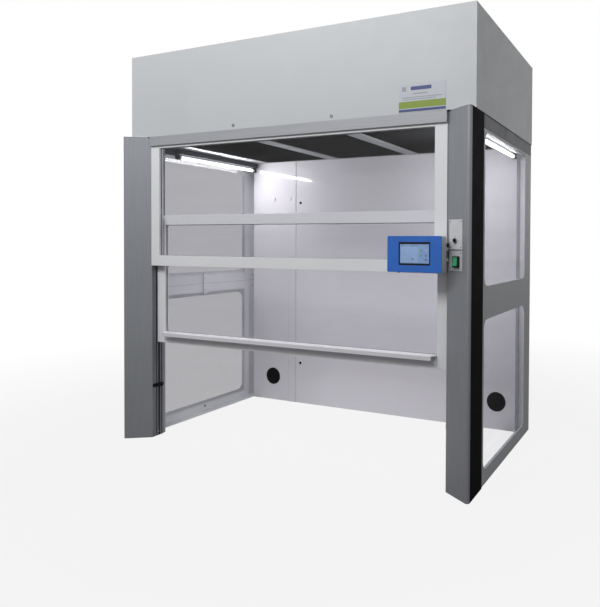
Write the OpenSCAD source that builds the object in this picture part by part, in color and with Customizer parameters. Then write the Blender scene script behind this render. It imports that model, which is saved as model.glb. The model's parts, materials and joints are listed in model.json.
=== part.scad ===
// Ductless fume hood with a counterbalanced sliding sash.
// X runs to the right along the front, Y to the back, Z up.
// The origin lies level with the feet of the posts, under the middle of the outline.

/* [Overall] */
// Width over the head and the front posts
hood_w = 1600; // [1400:10:1900]
// Depth from the head's front face to its back face
hood_d = 800; // [740:10:950]
// Height of the working chamber, from the feet to the underside of the head
chamber_h = 1316; // [1280:2:1400]
// Height of the head that holds the filters and the fans
head_h = 354; // [340:2:440]
// Thickness of the folded steel sheets
sheet_t = 2; // [1:0.25:3]

/* [Front posts] */
// Width of one post across the front
post_w = 106; // [96:1:130]
// How far the post's outer corner would stand in front of its inner edge if it were sharp
post_splay = 67; // [40:1:80]
// Depth of the post's inner edge behind the head's front face
post_inner_y = 11; // [6:1:14]
// Depth of the post's rear face behind the head's front face
post_rear_y = 88; // [86:1:110]
// Radius of the post's outer front corner
post_corner_r = 10; // [4:1:14]
// Wall of the post's hollow section
post_wall = 3; // [2:0.5:4]
// Thickness of the dark cover on the post's outer side
cover_t = 3; // [2:0.5:5]
// Thickness of the cap on the post's top end
cap_t = 3; // [2:0.5:6]
// Thickness of the track strip that closes the post's inner side
track_t = 6; // [5:0.5:9]
// Width of the slot in the track, through which the sash's shoes reach
slot_w = 10; // [8:0.5:12]
// Gap between a shoe and each side of its slot
slot_gap = 0.3; // [0.2:0.05:0.6]

/* [Side panels] */
// How far a folded flange of a side panel reaches inwards
flange_w = 50; // [30:1:60]
// Height of the bottom rail under the lower window
rail_bottom_h = 50; // [30:1:90]
// Height of the lower window
window_lower_h = 542; // [400:2:560]
// Height of the band between the two windows
rail_middle_h = 116; // [80:1:160]
// Gap between the upper window and the beam over it
window_top_gap = 6; // [4:1:40]
// Depth of both windows' front edges behind the head's front face
window_y0 = 110; // [104:1:180]
// Distance from the windows' rear edges to the back of the hood
window_rear = 100; // [90:1:160]
// Radius of the windows' corners
window_r = 36; // [10:1:60]
// Thickness of every glass pane
glass_t = 5; // [3:0.5:8]
// How far a side pane reaches past its window all round
pane_lap = 14; // [8:1:18]

/* [Back wall] */
// Distance from the inner back wall's face to the back of the hood
plenum_d = 61; // [45:1:90]
// Width of the left one of the two inner back panels
liner_left_w = 259; // [200:1:340]
// Width of the strip over that joint
joint_strip_w = 46; // [30:1:70]
// Radius of a cable port's flange
port_r = 45; // [30:1:55]
// Distance of the left cable port from the end of the inner back wall
port_left_in = 134; // [100:1:150]
// Distance of the right cable port from the end of the inner back wall
port_right_in = 89; // [60:1:190]
// Height of the cable ports above the feet
port_z = 129; // [90:1:200]
// Radius of a service plug
plug_r = 12; // [8:1:16]
// Distance of the two service plugs below the top of the chamber
plug_drop = 218; // [160:1:400]
// Distance of the upper hole cap below the top of the chamber
dot_drop = 242; // [180:1:420]
// Height of the lower hole cap above the feet
dot_z = 215; // [180:1:300]

/* [Fixed front window] */
// Depth of the window's front face behind the head's front face
window_y = 8; // [6:1:10]
// Depth of the window frame's section and of the sash frame's section
frame_d = 22; // [18:1:26]
// Width of the stiles at the sides
stile_w = 47; // [30:1:60]
// Height of the window's bottom edge above the feet
window_z = 757; // [700:1:900]
// Height of the window's bottom rail
window_rail_h = 44; // [30:1:60]
// Height of the window's top rail
window_head_h = 50; // [44:1:60]
// Height of the aluminium lintel in front of the top rail
lintel_h = 40; // [30:1:44]
// How deep a pane sits in its frame
glass_in = 8; // [5:1:12]

/* [Sliding sash] */
// Gap between the fixed window and the sash
sash_gap = 8; // [6:1:12]
// Gap between the sash and the track on each side
side_gap = 3; // [2:0.5:5]
// Height of the sash's bottom edge as drawn
sash_z = 418; // [380:1:440]
// Height of the sash
sash_h = 559; // [520:1:580]
// Height of the sash's top rail
sash_top_h = 42; // [30:1:60]
// Height of the sash's bottom rail
sash_bottom_h = 49; // [40:1:60]
// How far the handle lip stands out in front of the sash
lip_d = 30; // [20:1:34]
// Height of the handle lip's front edge
lip_h = 16; // [8:1:18]
// Height of the top of the sash stops
stop_z = 235; // [180:1:250]
// Height of a sash stop
stop_h = 16; // [10:1:40]
// How far a sash stop stands out from the track
stop_w = 8; // [8:1:20]

/* [Counterbalance] */
// Radius from a pulley's axis to the middle of its cable
pulley_r = 23.5; // [20:0.5:24]
// Radius of the cable
cable_r = 1.5; // [1:0.1:1.8]
// Radius of a pulley's pin
pin_r = 5; // [3:0.5:6]
// Distance of a pulley's axis below the top of the chamber
pulley_drop = 60; // [45:1:80]
// Length of a counterweight
weight_h = 580; // [300:1:620]
// Height of a counterweight's lower end as drawn
weight_z = 380; // [320:1:400]
// Width of a counterweight
weight_w = 40; // [30:1:42]
// Depth of a counterweight
weight_d = 54; // [40:1:56]

/* [Filters and fans] */
// Height of the ceiling's underside below the head
ceiling_drop = 20; // [16:1:20]
// Number of filters side by side
filter_count = 3; // [2:1:4]
// Width of a rib between two filter openings
rib_w = 64; // [40:1:80]
// Width of the ceiling's side border, from the side beam to the first opening
ceiling_border = 116; // [100:1:150]
// Depth of a filter opening behind the head's front face, at its front edge
filter_y0 = 92; // [86:1:120]
// Thickness of a coarse filter
prefilter_t = 20; // [10:1:25]
// Thickness of the seal under a carbon filter
seal_t = 5; // [3:1:8]
// Height of a carbon filter
carbon_h = 118; // [80:1:125]
// Distance of each fan's axis from the side of the hood
fan_in = 440; // [360:5:500]
// Radius of a fan's impeller
impeller_r = 105; // [90:1:120]
// Height of a fan's impeller
impeller_h = 70; // [60:1:80]
// Number of blades in an impeller
blade_count = 7; // [5:1:11]
// Radius of a fan's shaft
shaft_r = 6; // [4:0.5:8]
// Running gap all round a shaft or a pin
running_gap = 0.05; // [0.02:0.01:0.09]
// Radius of the lamp's tube
tube_r = 8; // [6:0.5:13]
// Gap between a post and the front end of a lamp
lamp_gap = 97; // [30:1:240]

/* [Display and switches] */
// Width of the display's housing
display_w = 202; // [180:1:230]
// Height of the display's housing
display_h = 124; // [110:1:140]
// Depth of the display's housing with its fascia
display_d = 46; // [36:1:46]
// Height of the display's lower edge
display_z = 762; // [740:1:800]
// Width of the screen's dark bezel
bezel_w = 117; // [100:1:130]
// Height of the screen's dark bezel
bezel_h = 79; // [60:1:90]
// Radius of the display's hinge pin
hinge_pin_r = 3; // [2:0.5:4]
// Radius of the knob that locks the display's hinge
lock_knob_r = 8.5; // [6:0.5:9]
// Width of the two switch plates
plate_w = 73; // [66:1:76]
// Height of the upper plate, which carries the key switch
key_plate_h = 101; // [80:1:110]
// Height of the lower plate, which carries the rocker switch
rocker_plate_h = 67; // [58:1:67]
// Width of the rocker switch's bezel
rocker_w = 30; // [24:1:34]
// Height of the rocker switch's bezel
rocker_h = 38; // [30:1:42]

/* [Electrics] */
// Distance of the mains inlet's middle from the side of the hood
inlet_in = 280; // [200:1:400]
// Distance of the electrics box's outer end from the side of the hood
box_in = 370; // [280:1:500]

/* [Hidden] */
$fn = 48;
eps = 0.01;
clear_gap = 0.3;

half_w = hood_w / 2;
roof_z = chamber_h + head_h;
inner_x = half_w - post_w;
wall_x = half_w - cover_t;
skin_x = wall_x - sheet_t;
liner_x = skin_x - flange_w + sheet_t;
liner_y = hood_d - plenum_d;
ceiling_z = chamber_h - ceiling_drop;
beam_h = 50;
beam_w = 40;
beam_wall = 3;
beam_z = chamber_h - beam_h;
beam_x = wall_x - beam_w;
shell_rim = 30;
front_beam_h = 50;
front_beam_y = 66;
front_beam_z = chamber_h;

face_a = atan(post_splay / post_w);
apex_y = post_inner_y - post_splay;
corner_half = (90 - face_a) / 2;
corner_t = post_corner_r / tan(corner_half);
corner_y = apex_y + corner_t;
edge_t = 3;
track_y0 = post_inner_y + edge_t;
mouth_y0 = track_y0 + 6;
mouth_y1 = post_rear_y - 28;
track_y1 = mouth_y1 + 10;
port_hole_r = port_r - 6;

sash_y = window_y + frame_d + sash_gap;
slot_y = sash_y + frame_d / 2;
sash_x = inner_x - side_gap;

pulley_x = post_w / 2 - 5;
pulley_z = chamber_h - pulley_drop;
run_in_x = inner_x + pulley_x - pulley_r;
run_out_x = inner_x + pulley_x + pulley_r;
shoe_h = 40;
shoe_low_z = sash_z + 60;
shoe_high_z = sash_z + sash_h - 60 - shoe_h;
weight_top = weight_z + weight_h;

ceiling_x = beam_x;
opening_w = (2 * (ceiling_x - ceiling_border) - (filter_count - 1) * rib_w) / filter_count;
filter_pitch = opening_w + rib_w;
filter_y1 = liner_y - 7;
filter_lap = 5;
prefilter_z = ceiling_z + sheet_t;
seal_z = prefilter_z + prefilter_t;
carbon_z = seal_z + seal_t;
carbon_top = carbon_z + carbon_h;
deck_z = carbon_top + seal_t;
fan_x = half_w - fan_in;
fan_y = (front_beam_y + hood_d) / 2;
inlet_r = impeller_r * 0.72;
outlet_r = impeller_r + 8;
impeller_z = deck_z + sheet_t + 5;
shaft_grip = 18;
motor_z = impeller_z + impeller_h + 3;
motor_h = 38;
motor_r = 46;
fan_plate_z = motor_z + motor_h;
fan_leg_r = impeller_r + 22;

display_x1 = inner_x + 8;
display_x0 = display_x1 - display_w;
display_back = -15;
display_front = display_back - display_d;
display_z1 = display_z + display_h;
display_mid_z = display_z + display_h / 2;
display_r = 5;
fascia_t = 4;
hinge_x = inner_x + 5;
hinge_y = -6;
hinge_r = 6;
lug_h = 10;
barrel_h = 28;
lug_low_z = display_mid_z - barrel_h / 2 - lug_h;
lug_high_z = display_mid_z + barrel_h / 2;
knob_z = lug_high_z + lug_h + clear_gap;
knob_h = 13;
bezel_x0 = display_x0 + 44;
bezel_z0 = display_z + 24;

plate_s0 = 14;
key_plate_z = display_z1 - 45;
key_s = plate_s0 + plate_w / 2;
key_z = key_plate_z + 30;
switch_plate_z = key_plate_z - 5 - rocker_plate_h;
rocker_s = plate_s0 + plate_w / 2 + 8;
rocker_z = switch_plate_z + rocker_plate_h / 2 - 3;
plate_t = 2;

screw_x = 0.145 * hood_w;
screw_z = chamber_h + 17;
screw_r = 3;
screw_l = 12;
inlet_x = half_w - inlet_in;
inlet_w = 50;
inlet_h = 28;
inlet_z = chamber_h + 60;

label_x0 = inner_x - 182;
label_w = 178;
label_h = 100;
label_t = 1;
label_z = chamber_h + 3;

window_y1 = hood_d - window_rear;
window_lower_z = rail_bottom_h;
window_upper_z = window_lower_z + window_lower_h + rail_middle_h;
window_upper_h = beam_z - window_top_gap - window_upper_z;

top_lap = min(pane_lap, window_top_gap - sheet_t);

clip_share = 0.53;
clip_y = window_y0 + clip_share * (window_y1 - window_y0);
clip_w = 26;

joint_x = liner_x - liner_left_w;
port_left_x = liner_x - port_left_in;
port_right_x = liner_x - port_right_in;
dot_x = joint_x - 53;
dot_z1 = chamber_h - dot_drop;
plug_z = chamber_h - plug_drop;
plug_x0 = joint_x + 123;
plug_x1 = joint_x + 17;
plug_shank_r = plug_r - 3;
dot_r = 4;

lamp_body_w = 40;
lamp_body_h = 24;
tube_gap = 7;
lamp_x = ceiling_x - 1 - lamp_body_w / 2;
lamp_y0 = post_rear_y + lamp_gap;
lamp_y1 = liner_y - 4;
holder_l = 14;
tube_z = ceiling_z - lamp_body_h - tube_gap - tube_r;

box_w = 180;
box_h = 70;
box_x = half_w - box_in;

sash_stile = stile_w - side_gap;

pulley_half = 5;
groove_half = cable_r + 0.5;
groove_r = pulley_r - cable_r - clear_gap;
rim_r = pulley_r + 2;

bezel_side = 4.5;
bezel_low = 7;
screen_y1 = display_front + 4;

collar_r = 9.5;
collar_neck_r = collar_r - 2;
rotor_r = 6;

bezel_t = 9;
bezel_lap = 2;
rocker_rim = 3;
rocker_pin_r = 2;
rocker_axis = -plate_t - 4;

rocker_in = rocker_h / 2 - rocker_rim - 1.6;

mid_y = (hood_d + display_front) / 2;

steel_white = "#c4c7ca";
steel_shell = "#b9bcbf";
alu = "#85898d";
alu_dark = "#4a4e52";
black = "#1c1c1f";
glass_tint = [0.72, 0.76, 0.78, 0.35];

// Right-hand pieces are drawn, and the left ones are their mirror images.
module pair() {
    for (side = [0, 1]) mirror([side, 0, 0]) children();
}

module left() {
    mirror([1, 0, 0]) children();
}

// One copy at each fan's axis.
module fan_pair() {
    for (x = [-fan_x, fan_x]) translate([x, fan_y, 0]) children();
}

module block(x0, x1, y0, y1, z0, z1) {
    translate([x0, y0, z0]) cube([x1 - x0, y1 - y0, z1 - z0]);
}

// A rod along Y from y0 to y1.
module rod_y(x, z, r, y0, y1) {
    translate([x, y0, z]) rotate([-90, 0, 0]) cylinder(r = r, h = y1 - y0);
}

// A rod along X from x0 to x1.
module rod_x(y, z, r, x0, x1) {
    translate([x0, y, z]) rotate([0, 90, 0]) cylinder(r = r, h = x1 - x0);
}

// Points of a rounded corner, from angle a0 to a1 about a centre.
function arc(cx, cy, r, a0, a1, n) =
    [for (i = [0 : n]) [cx + r * cos(a0 + (a1 - a0) * i / n), cy + r * sin(a0 + (a1 - a0) * i / n)]];

function round_rect(x0, y0, x1, y1, r, n = 6) = concat(
    arc(x1 - r, y1 - r, r, 0, 90, n), arc(x0 + r, y1 - r, r, 90, 180, n),
    arc(x0 + r, y0 + r, r, 180, 270, n), arc(x1 - r, y0 + r, r, 270, 360, n));

// Depth of the splayed front face at a distance from the post's inner edge.
function face_y(px) = post_inner_y - px * tan(face_a);

// Post in plan, with x from its inner edge outwards.
function post_outline() = concat(
    [[0, track_y0], [0, post_inner_y]],
    arc(post_w - post_corner_r, corner_y, post_corner_r, -90 - face_a, 0, 10),
    [[post_w - cover_t, corner_y], [post_w - cover_t, post_rear_y],
     [track_t, post_rear_y], [track_t, track_y0]]);

module post_plan() {
    wall_y = post_wall / cos(face_a);
    inner_in = track_t + post_wall;
    side_in = post_w - cover_t - post_wall;
    front_in = post_w - post_corner_r - 14;
    rear_in = post_rear_y - post_wall;
    difference() {
        polygon(post_outline());
        polygon([
            [inner_in, face_y(inner_in) + wall_y], [front_in, face_y(front_in) + wall_y],
            [side_in, corner_y + 4], [side_in, rear_in], [inner_in, rear_in]]);
        translate([track_t - 1, mouth_y0]) square([post_wall + 2, mouth_y1 - mouth_y0]);
    }
}

module post() {
    color(alu) translate([inner_x, 0, 0]) linear_extrude(chamber_h - cap_t) post_plan();
}

module post_left() {
    left() post();
}

module post_right() {
    post();
}

module post_caps() {
    color(alu) pair() translate([inner_x, 0, chamber_h - cap_t])
        linear_extrude(cap_t) polygon(post_outline());
}

module post_covers() {
    color(black) pair() block(wall_x, half_w, corner_y, post_rear_y, 0, chamber_h);
}

// Track strips close the posts' inner sides and leave the sash's slot.
module sash_tracks() {
    groove_d = 2.5;
    groove_w = 4;
    color(black) pair() translate([inner_x, 0, 0]) linear_extrude(chamber_h - cap_t) difference() {
        translate([0, track_y0]) square([track_t, track_y1 - track_y0]);
        translate([-1, slot_y - slot_w / 2]) square([track_t + 2, slot_w]);
        for (y = [sash_y - groove_w - 1, sash_y + frame_d])
            translate([-1, y]) square([groove_d + 1, groove_w]);
    }
}

// Rubber stops under the sash, each on a thin foot that reaches forward to the post's edge.
module sash_stops() {
    foot_t = 2;
    y0 = sash_y - 4;
    y1 = track_y1 - 4;
    color(black) pair() translate([inner_x, 0, stop_z - stop_h]) linear_extrude(stop_h)
        polygon([[0, track_y0], [0, y1], [-stop_w, y1], [-stop_w, y0], [-foot_t, y0], [-foot_t, track_y0]]);
}

// Steel shell of the head, open below and in front.
module housing_shell() {
    rim = shell_rim;
    color(steel_shell) difference() {
        union() {
            difference() {
                block(-half_w, half_w, sheet_t, hood_d, chamber_h, roof_z);
                block(-half_w + sheet_t, half_w - sheet_t, 0, hood_d - sheet_t,
                    chamber_h - 1, roof_z - sheet_t);
            }
            pair() block(half_w - rim, half_w - sheet_t, front_beam_y, hood_d - sheet_t,
                chamber_h, chamber_h + sheet_t);
            block(-half_w + rim, half_w - rim, hood_d - rim, hood_d - sheet_t,
                chamber_h, chamber_h + sheet_t);
        }
        fan_pair() translate([0, 0, roof_z - 10]) cylinder(r = outlet_r, h = 20);
        block(inlet_x - inlet_w / 2, inlet_x + inlet_w / 2, hood_d - 10, hood_d + 10,
            inlet_z, inlet_z + inlet_h);
    }
}

// Front sheet of the head, with folded returns inside the shell.
module front_panel() {
    fold = 16;
    x = half_w - sheet_t;
    color(steel_white) difference() {
        union() {
            block(-half_w, half_w, 0, sheet_t, chamber_h, roof_z);
            block(-x, x, sheet_t, fold, roof_z - 2 * sheet_t, roof_z - sheet_t);
            pair() block(x - sheet_t, x, sheet_t, fold, front_beam_z + front_beam_h, roof_z - 2 * sheet_t);
        }
        pair() rod_y(screw_x, screw_z, screw_r + clear_gap, -1, sheet_t + 1);
    }
}

// Two raised-head screws hold the front sheet's lower edge.
module panel_screws() {
    head_r = 6;
    head_h = 2.5;
    socket_r = 2.5;
    color(alu) pair() {
        difference() {
            rod_y(screw_x, screw_z, head_r, -head_h, 0);
            translate([screw_x, -head_h - 0.1, screw_z]) rotate([-90, 0, 0])
                cylinder(r = socket_r, h = 1.6, $fn = 6);
        }
        rod_y(screw_x, screw_z, screw_r, 0, screw_l);
    }
}

module label_card() {
    color("#dfe3dc") block(label_x0, label_x0 + label_w, -label_t, 0, label_z, label_z + label_h);
}

// Channel beam that carries the head's front on the posts.
module front_beam() {
    t = beam_wall;
    z1 = front_beam_z + front_beam_h;
    color(alu_dark) difference() {
        block(-wall_x, wall_x, sheet_t, front_beam_y, front_beam_z, z1);
        block(-wall_x - 1, wall_x + 1, sheet_t + t, front_beam_y - t, front_beam_z + t, z1 + 1);
        pair() rod_y(screw_x, screw_z, screw_r + clear_gap, 0, screw_l);
    }
}

// Square tubes along the tops of the side panels.
module side_beams() {
    t = beam_wall;
    color(alu_dark) pair() difference() {
        block(beam_x, wall_x, post_rear_y, hood_d, beam_z, chamber_h);
        block(beam_x + t, wall_x - t, post_rear_y - 1, hood_d + 1, beam_z + t, chamber_h - t);
    }
}

module lintel() {
    color("#9b9ea1") block(-inner_x, inner_x, 0, window_y, chamber_h - lintel_h, chamber_h);
}

// Cuts a rounded window through the side skin.
module window_cut(z0, h) {
    translate([skin_x - 5, 0, 0]) rotate([90, 0, 90]) linear_extrude(sheet_t + 10)
        polygon(round_rect(window_y0, z0, window_y1, z0 + h, window_r));
}

// Side sheet with two windows and flanges folded inwards.
module side_panel() {
    front_flange = 20;
    color(steel_shell) difference() {
        union() {
            block(skin_x, wall_x, post_rear_y, hood_d, 0, beam_z);
            block(liner_x, skin_x, post_rear_y, hood_d, 0, sheet_t);
            block(liner_x, skin_x, hood_d - sheet_t, hood_d, sheet_t, beam_z);
            block(beam_x, skin_x, post_rear_y, hood_d - sheet_t, beam_z - sheet_t, beam_z);
            block(skin_x - front_flange, skin_x, post_rear_y, post_rear_y + sheet_t,
                sheet_t, beam_z - sheet_t);
        }
        window_cut(window_lower_z, window_lower_h);
        window_cut(window_upper_z, window_upper_h);
    }
}

module side_panel_left() {
    left() side_panel();
}

module side_panel_right() {
    side_panel();
}

// Four side panes, seated on the inner faces of the side sheets.
module side_windows() {
    x0 = skin_x - glass_t;
    y0 = window_y0 - pane_lap;
    y1 = window_y1 + pane_lap;
    lower_z1 = window_lower_z + window_lower_h + pane_lap;
    upper_z1 = window_upper_z + window_upper_h + top_lap;
    color(glass_tint) pair() {
        block(x0, skin_x, y0, y1, window_lower_z - pane_lap, lower_z1);
        block(x0, skin_x, y0, y1, window_upper_z - pane_lap, upper_z1);
    }
}

// Clips bridge the gap between two panes, held by two screws each, with one more at the foot.
module pane_clips() {
    x1 = skin_x - glass_t;
    x0 = x1 - sheet_t;
    clip_lap = 8;
    head_r = 5;
    head_h = 3;
    band_z = window_lower_z + window_lower_h;
    mid_z = band_z + rail_middle_h / 2;
    screw_gap = rail_middle_h / 4;
    color(steel_white) pair() {
        block(x0, x1, clip_y - clip_w / 2, clip_y + clip_w / 2,
            band_z + pane_lap - clip_lap, window_upper_z - pane_lap + clip_lap);
        for (z = [mid_z - screw_gap, mid_z + screw_gap]) {
            rod_x(clip_y, z, head_r, x0 - head_h, x0);
            rod_x(clip_y, z, head_r / 2, x1, skin_x);
        }
        rod_x(clip_y, rail_bottom_h / 2 - 2, head_r, skin_x - head_h, skin_x);
    }
}

module port_hole(x) {
    rod_y(x, port_z, port_hole_r, liner_y - 10, hood_d + 10);
}

module port_holes() {
    port_hole(-port_left_x);
    port_hole(port_right_x);
}

// Outer back sheet, between the side panels' flanges.
module back_panel() {
    color(steel_shell) difference() {
        block(-liner_x, liner_x, hood_d - sheet_t, hood_d, 0, chamber_h);
        port_holes();
    }
}

module liner_holes() {
    port_holes();
    for (z = [dot_z, dot_z1]) rod_y(-dot_x, z, dot_r, liner_y - 5, liner_y + sheet_t + 5);
    for (x = [plug_x0, plug_x1]) rod_y(-x, plug_z, plug_shank_r, liner_y - 5, liner_y + sheet_t + 5);
}

// Inner back wall in two sheets, each with a return to the back sheet.
module liner_left() {
    color(steel_white) difference() {
        union() {
            block(-liner_x, -joint_x, liner_y, liner_y + sheet_t, 0, ceiling_z);
            block(-liner_x, -liner_x + sheet_t, liner_y + sheet_t, hood_d - sheet_t, 0, ceiling_z);
        }
        liner_holes();
    }
}

module liner_main() {
    color(steel_white) difference() {
        union() {
            block(-joint_x, liner_x, liner_y, liner_y + sheet_t, 0, ceiling_z);
            block(liner_x - sheet_t, liner_x, liner_y + sheet_t, hood_d - sheet_t, 0, ceiling_z);
        }
        liner_holes();
    }
}

module liner_strip() {
    x0 = -joint_x - joint_strip_w / 2;
    color(steel_white) difference() {
        block(x0, x0 + joint_strip_w, liner_y - sheet_t, liner_y, 0, ceiling_z);
        for (x = [plug_x0, plug_x1]) rod_y(-x, plug_z, plug_r + clear_gap, liner_y - 20, liner_y + 5);
    }
}

// Blanking plugs of the service holes, and two small black hole caps.
module liner_plugs() {
    color("#dcdee0") for (x = [plug_x0, plug_x1]) {
        rod_y(-x, plug_z, plug_r, liner_y - 4, liner_y);
        rod_y(-x, plug_z, plug_shank_r, liner_y, liner_y + sheet_t + 3);
    }
    color(black) for (z = [dot_z, dot_z1]) {
        rod_y(-dot_x, z, dot_r + 3, liner_y - 2, liner_y);
        rod_y(-dot_x, z, dot_r, liner_y, liner_y + sheet_t + 2);
    }
}

// Blind rubber grommet that fills a cable port through both back sheets.
module cable_port(x) {
    r = port_hole_r;
    wall = 4;
    flange_t = 3;
    deep = plenum_d + flange_t;
    color(black) translate([x, liner_y - flange_t, port_z]) rotate([-90, 0, 0]) rotate_extrude($fn = 96)
        polygon([
            [0, 1], [r - 8, 1], [r - 6, 0], [port_r - 2, 0], [port_r, 1.5], [port_r, flange_t],
            [r, flange_t], [r, deep], [r - wall, deep], [r - wall, 2 * flange_t], [0, 2 * flange_t]]);
}

module cable_ports() {
    cable_port(-port_left_x);
    cable_port(port_right_x);
}

// Mains inlet set into the back of the head.
module power_inlet() {
    half = inlet_w / 2;
    z1 = inlet_z + inlet_h;
    mid_z = inlet_z + inlet_h / 2;
    pin_gap = 8;
    recess = hood_d - 16;
    color(black) {
        difference() {
            block(inlet_x - half, inlet_x + half, recess - 8, hood_d, inlet_z, z1);
            block(inlet_x - half + 10, inlet_x + half - 10, recess, hood_d + 1, inlet_z + 4, z1 - 4);
        }
        for (x = [inlet_x - pin_gap, inlet_x, inlet_x + pin_gap])
            block(x - 1, x + 1, recess - 1, hood_d - 4, mid_z - 3, mid_z + 3);
    }
}

function filter_x(i) = (i - (filter_count - 1) / 2) * filter_pitch;

// One layer of a filter stack, smaller all round by the inset.
module filter_layer(i, inset, z0, z1) {
    half = opening_w / 2 + filter_lap - inset;
    block(filter_x(i) - half, filter_x(i) + half, filter_y0 - filter_lap + inset,
        filter_y1 + filter_lap - inset, z0, z1);
}

// Ceiling tray with one opening under each filter.
module ceiling_frame() {
    t = sheet_t;
    y0 = front_beam_y - t;
    color("#a9abae") difference() {
        union() {
            block(-ceiling_x, ceiling_x, post_rear_y, hood_d - t, ceiling_z, ceiling_z + t);
            block(-inner_x, inner_x, y0, post_rear_y, ceiling_z, ceiling_z + t);
            block(-inner_x, inner_x, y0, y0 + t, ceiling_z + t, chamber_h);
            pair() block(ceiling_x - t, ceiling_x, post_rear_y, hood_d - t, ceiling_z + t, chamber_h);
        }
        for (i = [0 : filter_count - 1])
            block(filter_x(i) - opening_w / 2, filter_x(i) + opening_w / 2, filter_y0, filter_y1,
                ceiling_z - 1, ceiling_z + t + 1);
    }
}

// Pleated coarse filter pads that lie in the ceiling's openings.
module prefilters() {
    pleat = 16;
    n = floor((opening_w - 10) / pleat);
    color("#2b2b2e") for (i = [0 : filter_count - 1]) difference() {
        filter_layer(i, 0, prefilter_z, prefilter_z + prefilter_t);
        for (k = [0 : n - 1]) {
            x = filter_x(i) + (k - (n - 1) / 2) * pleat;
            block(x - 3, x + 3, filter_y0 + 8, filter_y1 - 8, prefilter_z - 1, prefilter_z + 6);
        }
    }
}

module filter_seals() {
    rim = 14;
    color(black) for (i = [0 : filter_count - 1]) difference() {
        filter_layer(i, 0, seal_z, carbon_z);
        filter_layer(i, rim, seal_z - 1, carbon_z + 1);
    }
}

// Carbon filter cassettes with slatted upper and lower faces.
module carbon_filters() {
    half = opening_w / 2 + filter_lap - 22;
    slat = 30;
    slot_half = 11;
    mid = (filter_y0 + filter_y1) / 2;
    n = floor((filter_y1 - filter_y0 - 44) / slat);
    color("#8f9294") for (i = [0 : filter_count - 1]) difference() {
        filter_layer(i, 0, carbon_z, carbon_top);
        for (k = [0 : n - 1], z = [carbon_z - 1, carbon_top - 5]) {
            y = mid + (k - (n - 1) / 2) * slat;
            block(filter_x(i) - half, filter_x(i) + half, y - slot_half, y + slot_half, z, z + 6);
        }
    }
}

// Dark battens with a tube holder at each end.
module lamp_bodies() {
    hx = lamp_body_w / 2;
    holder_r = tube_r + 1.5;
    color(black) pair() translate([lamp_x, 0, 0]) {
        block(-hx, hx, lamp_y0, lamp_y1, ceiling_z - lamp_body_h, ceiling_z);
        for (y = [lamp_y0, lamp_y1 - holder_l])
            block(-holder_r, holder_r, y, y + holder_l, tube_z - holder_r, ceiling_z - lamp_body_h);
    }
}

module lamp_tubes() {
    color("#ffffff") pair() rod_y(lamp_x, tube_z, tube_r, lamp_y0 + holder_l, lamp_y1 - holder_l);
}

// Fan deck: a sheet over the filters with a front wall and two inlet rings.
module blower_deck() {
    t = sheet_t;
    x = half_w - t;
    ring_h = 6;
    color("#9fa2a5") difference() {
        union() {
            block(-x, x, front_beam_y, hood_d - t, deck_z, deck_z + t);
            block(-x, x, front_beam_y, front_beam_y + t, chamber_h, deck_z);
            fan_pair() translate([0, 0, deck_z + t - ring_h])
                cylinder(r = inlet_r + 3, h = ring_h, $fn = 96);
        }
        fan_pair() translate([0, 0, deck_z - 20]) cylinder(r = inlet_r, h = 60, $fn = 96);
        pair() block(half_w - shell_rim, half_w, front_beam_y - 1, front_beam_y + t + 1,
            chamber_h - 1, chamber_h + t);
    }
}

// Motor on a plate with four legs, above each impeller.
module fan_mount() {
    leg = 5;
    bar_t = 4;
    d = fan_leg_r * cos(45);
    color("#5b5e62") difference() {
        union() {
            translate([0, 0, motor_z]) cylinder(r = motor_r, h = motor_h);
            translate([0, 0, fan_plate_z]) cross_bars(2 * sqrt(2) * (d + leg), motor_r / 2, bar_t);
            for (sx = [-1, 1], sy = [-1, 1]) translate([sx * d, sy * d, deck_z + sheet_t])
                cylinder(r = leg, h = fan_plate_z - deck_z - sheet_t);
        }
        translate([0, 0, motor_z - 1]) cylinder(r = shaft_r + running_gap, h = shaft_grip + 1);
    }
}

// A cross of two bars between the four legs.
module cross_bars(l, w, h) {
    linear_extrude(h) for (a = [45, 135]) rotate(a) square([l, w], center = true);
}

module fan_mounts() {
    fan_pair() fan_mount();
}

// Backward-curved impeller with its hub and shaft.
module impeller() {
    ring_t = 2.5;
    blade_t = 3;
    hub_r = shaft_r + 10;
    blade_l = impeller_r - hub_r - 6;
    blade_h = impeller_h - 2 * ring_t + 2;
    color("#3b3e42") translate([0, 0, impeller_z]) {
        translate([0, 0, impeller_h - ring_t]) cylinder(r = impeller_r, h = ring_t, $fn = 96);
        difference() {
            cylinder(r = impeller_r, h = ring_t, $fn = 96);
            translate([0, 0, -1]) cylinder(r = inlet_r, h = ring_t + 2, $fn = 96);
        }
        cylinder(r = hub_r, h = impeller_h - 1);
        translate([0, 0, impeller_h - 1]) cylinder(r = shaft_r, h = 3 + shaft_grip);
        for (i = [0 : blade_count - 1]) rotate(i * 360 / blade_count)
            translate([hub_r - 2, 0, 0]) rotate(24) translate([0, -blade_t / 2, ring_t - 1])
                cube([blade_l, blade_t, blade_h]);
    }
}

module impeller_left() {
    translate([-fan_x, fan_y, 0]) impeller();
}

module impeller_right() {
    translate([fan_x, fan_y, 0]) impeller();
}

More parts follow.
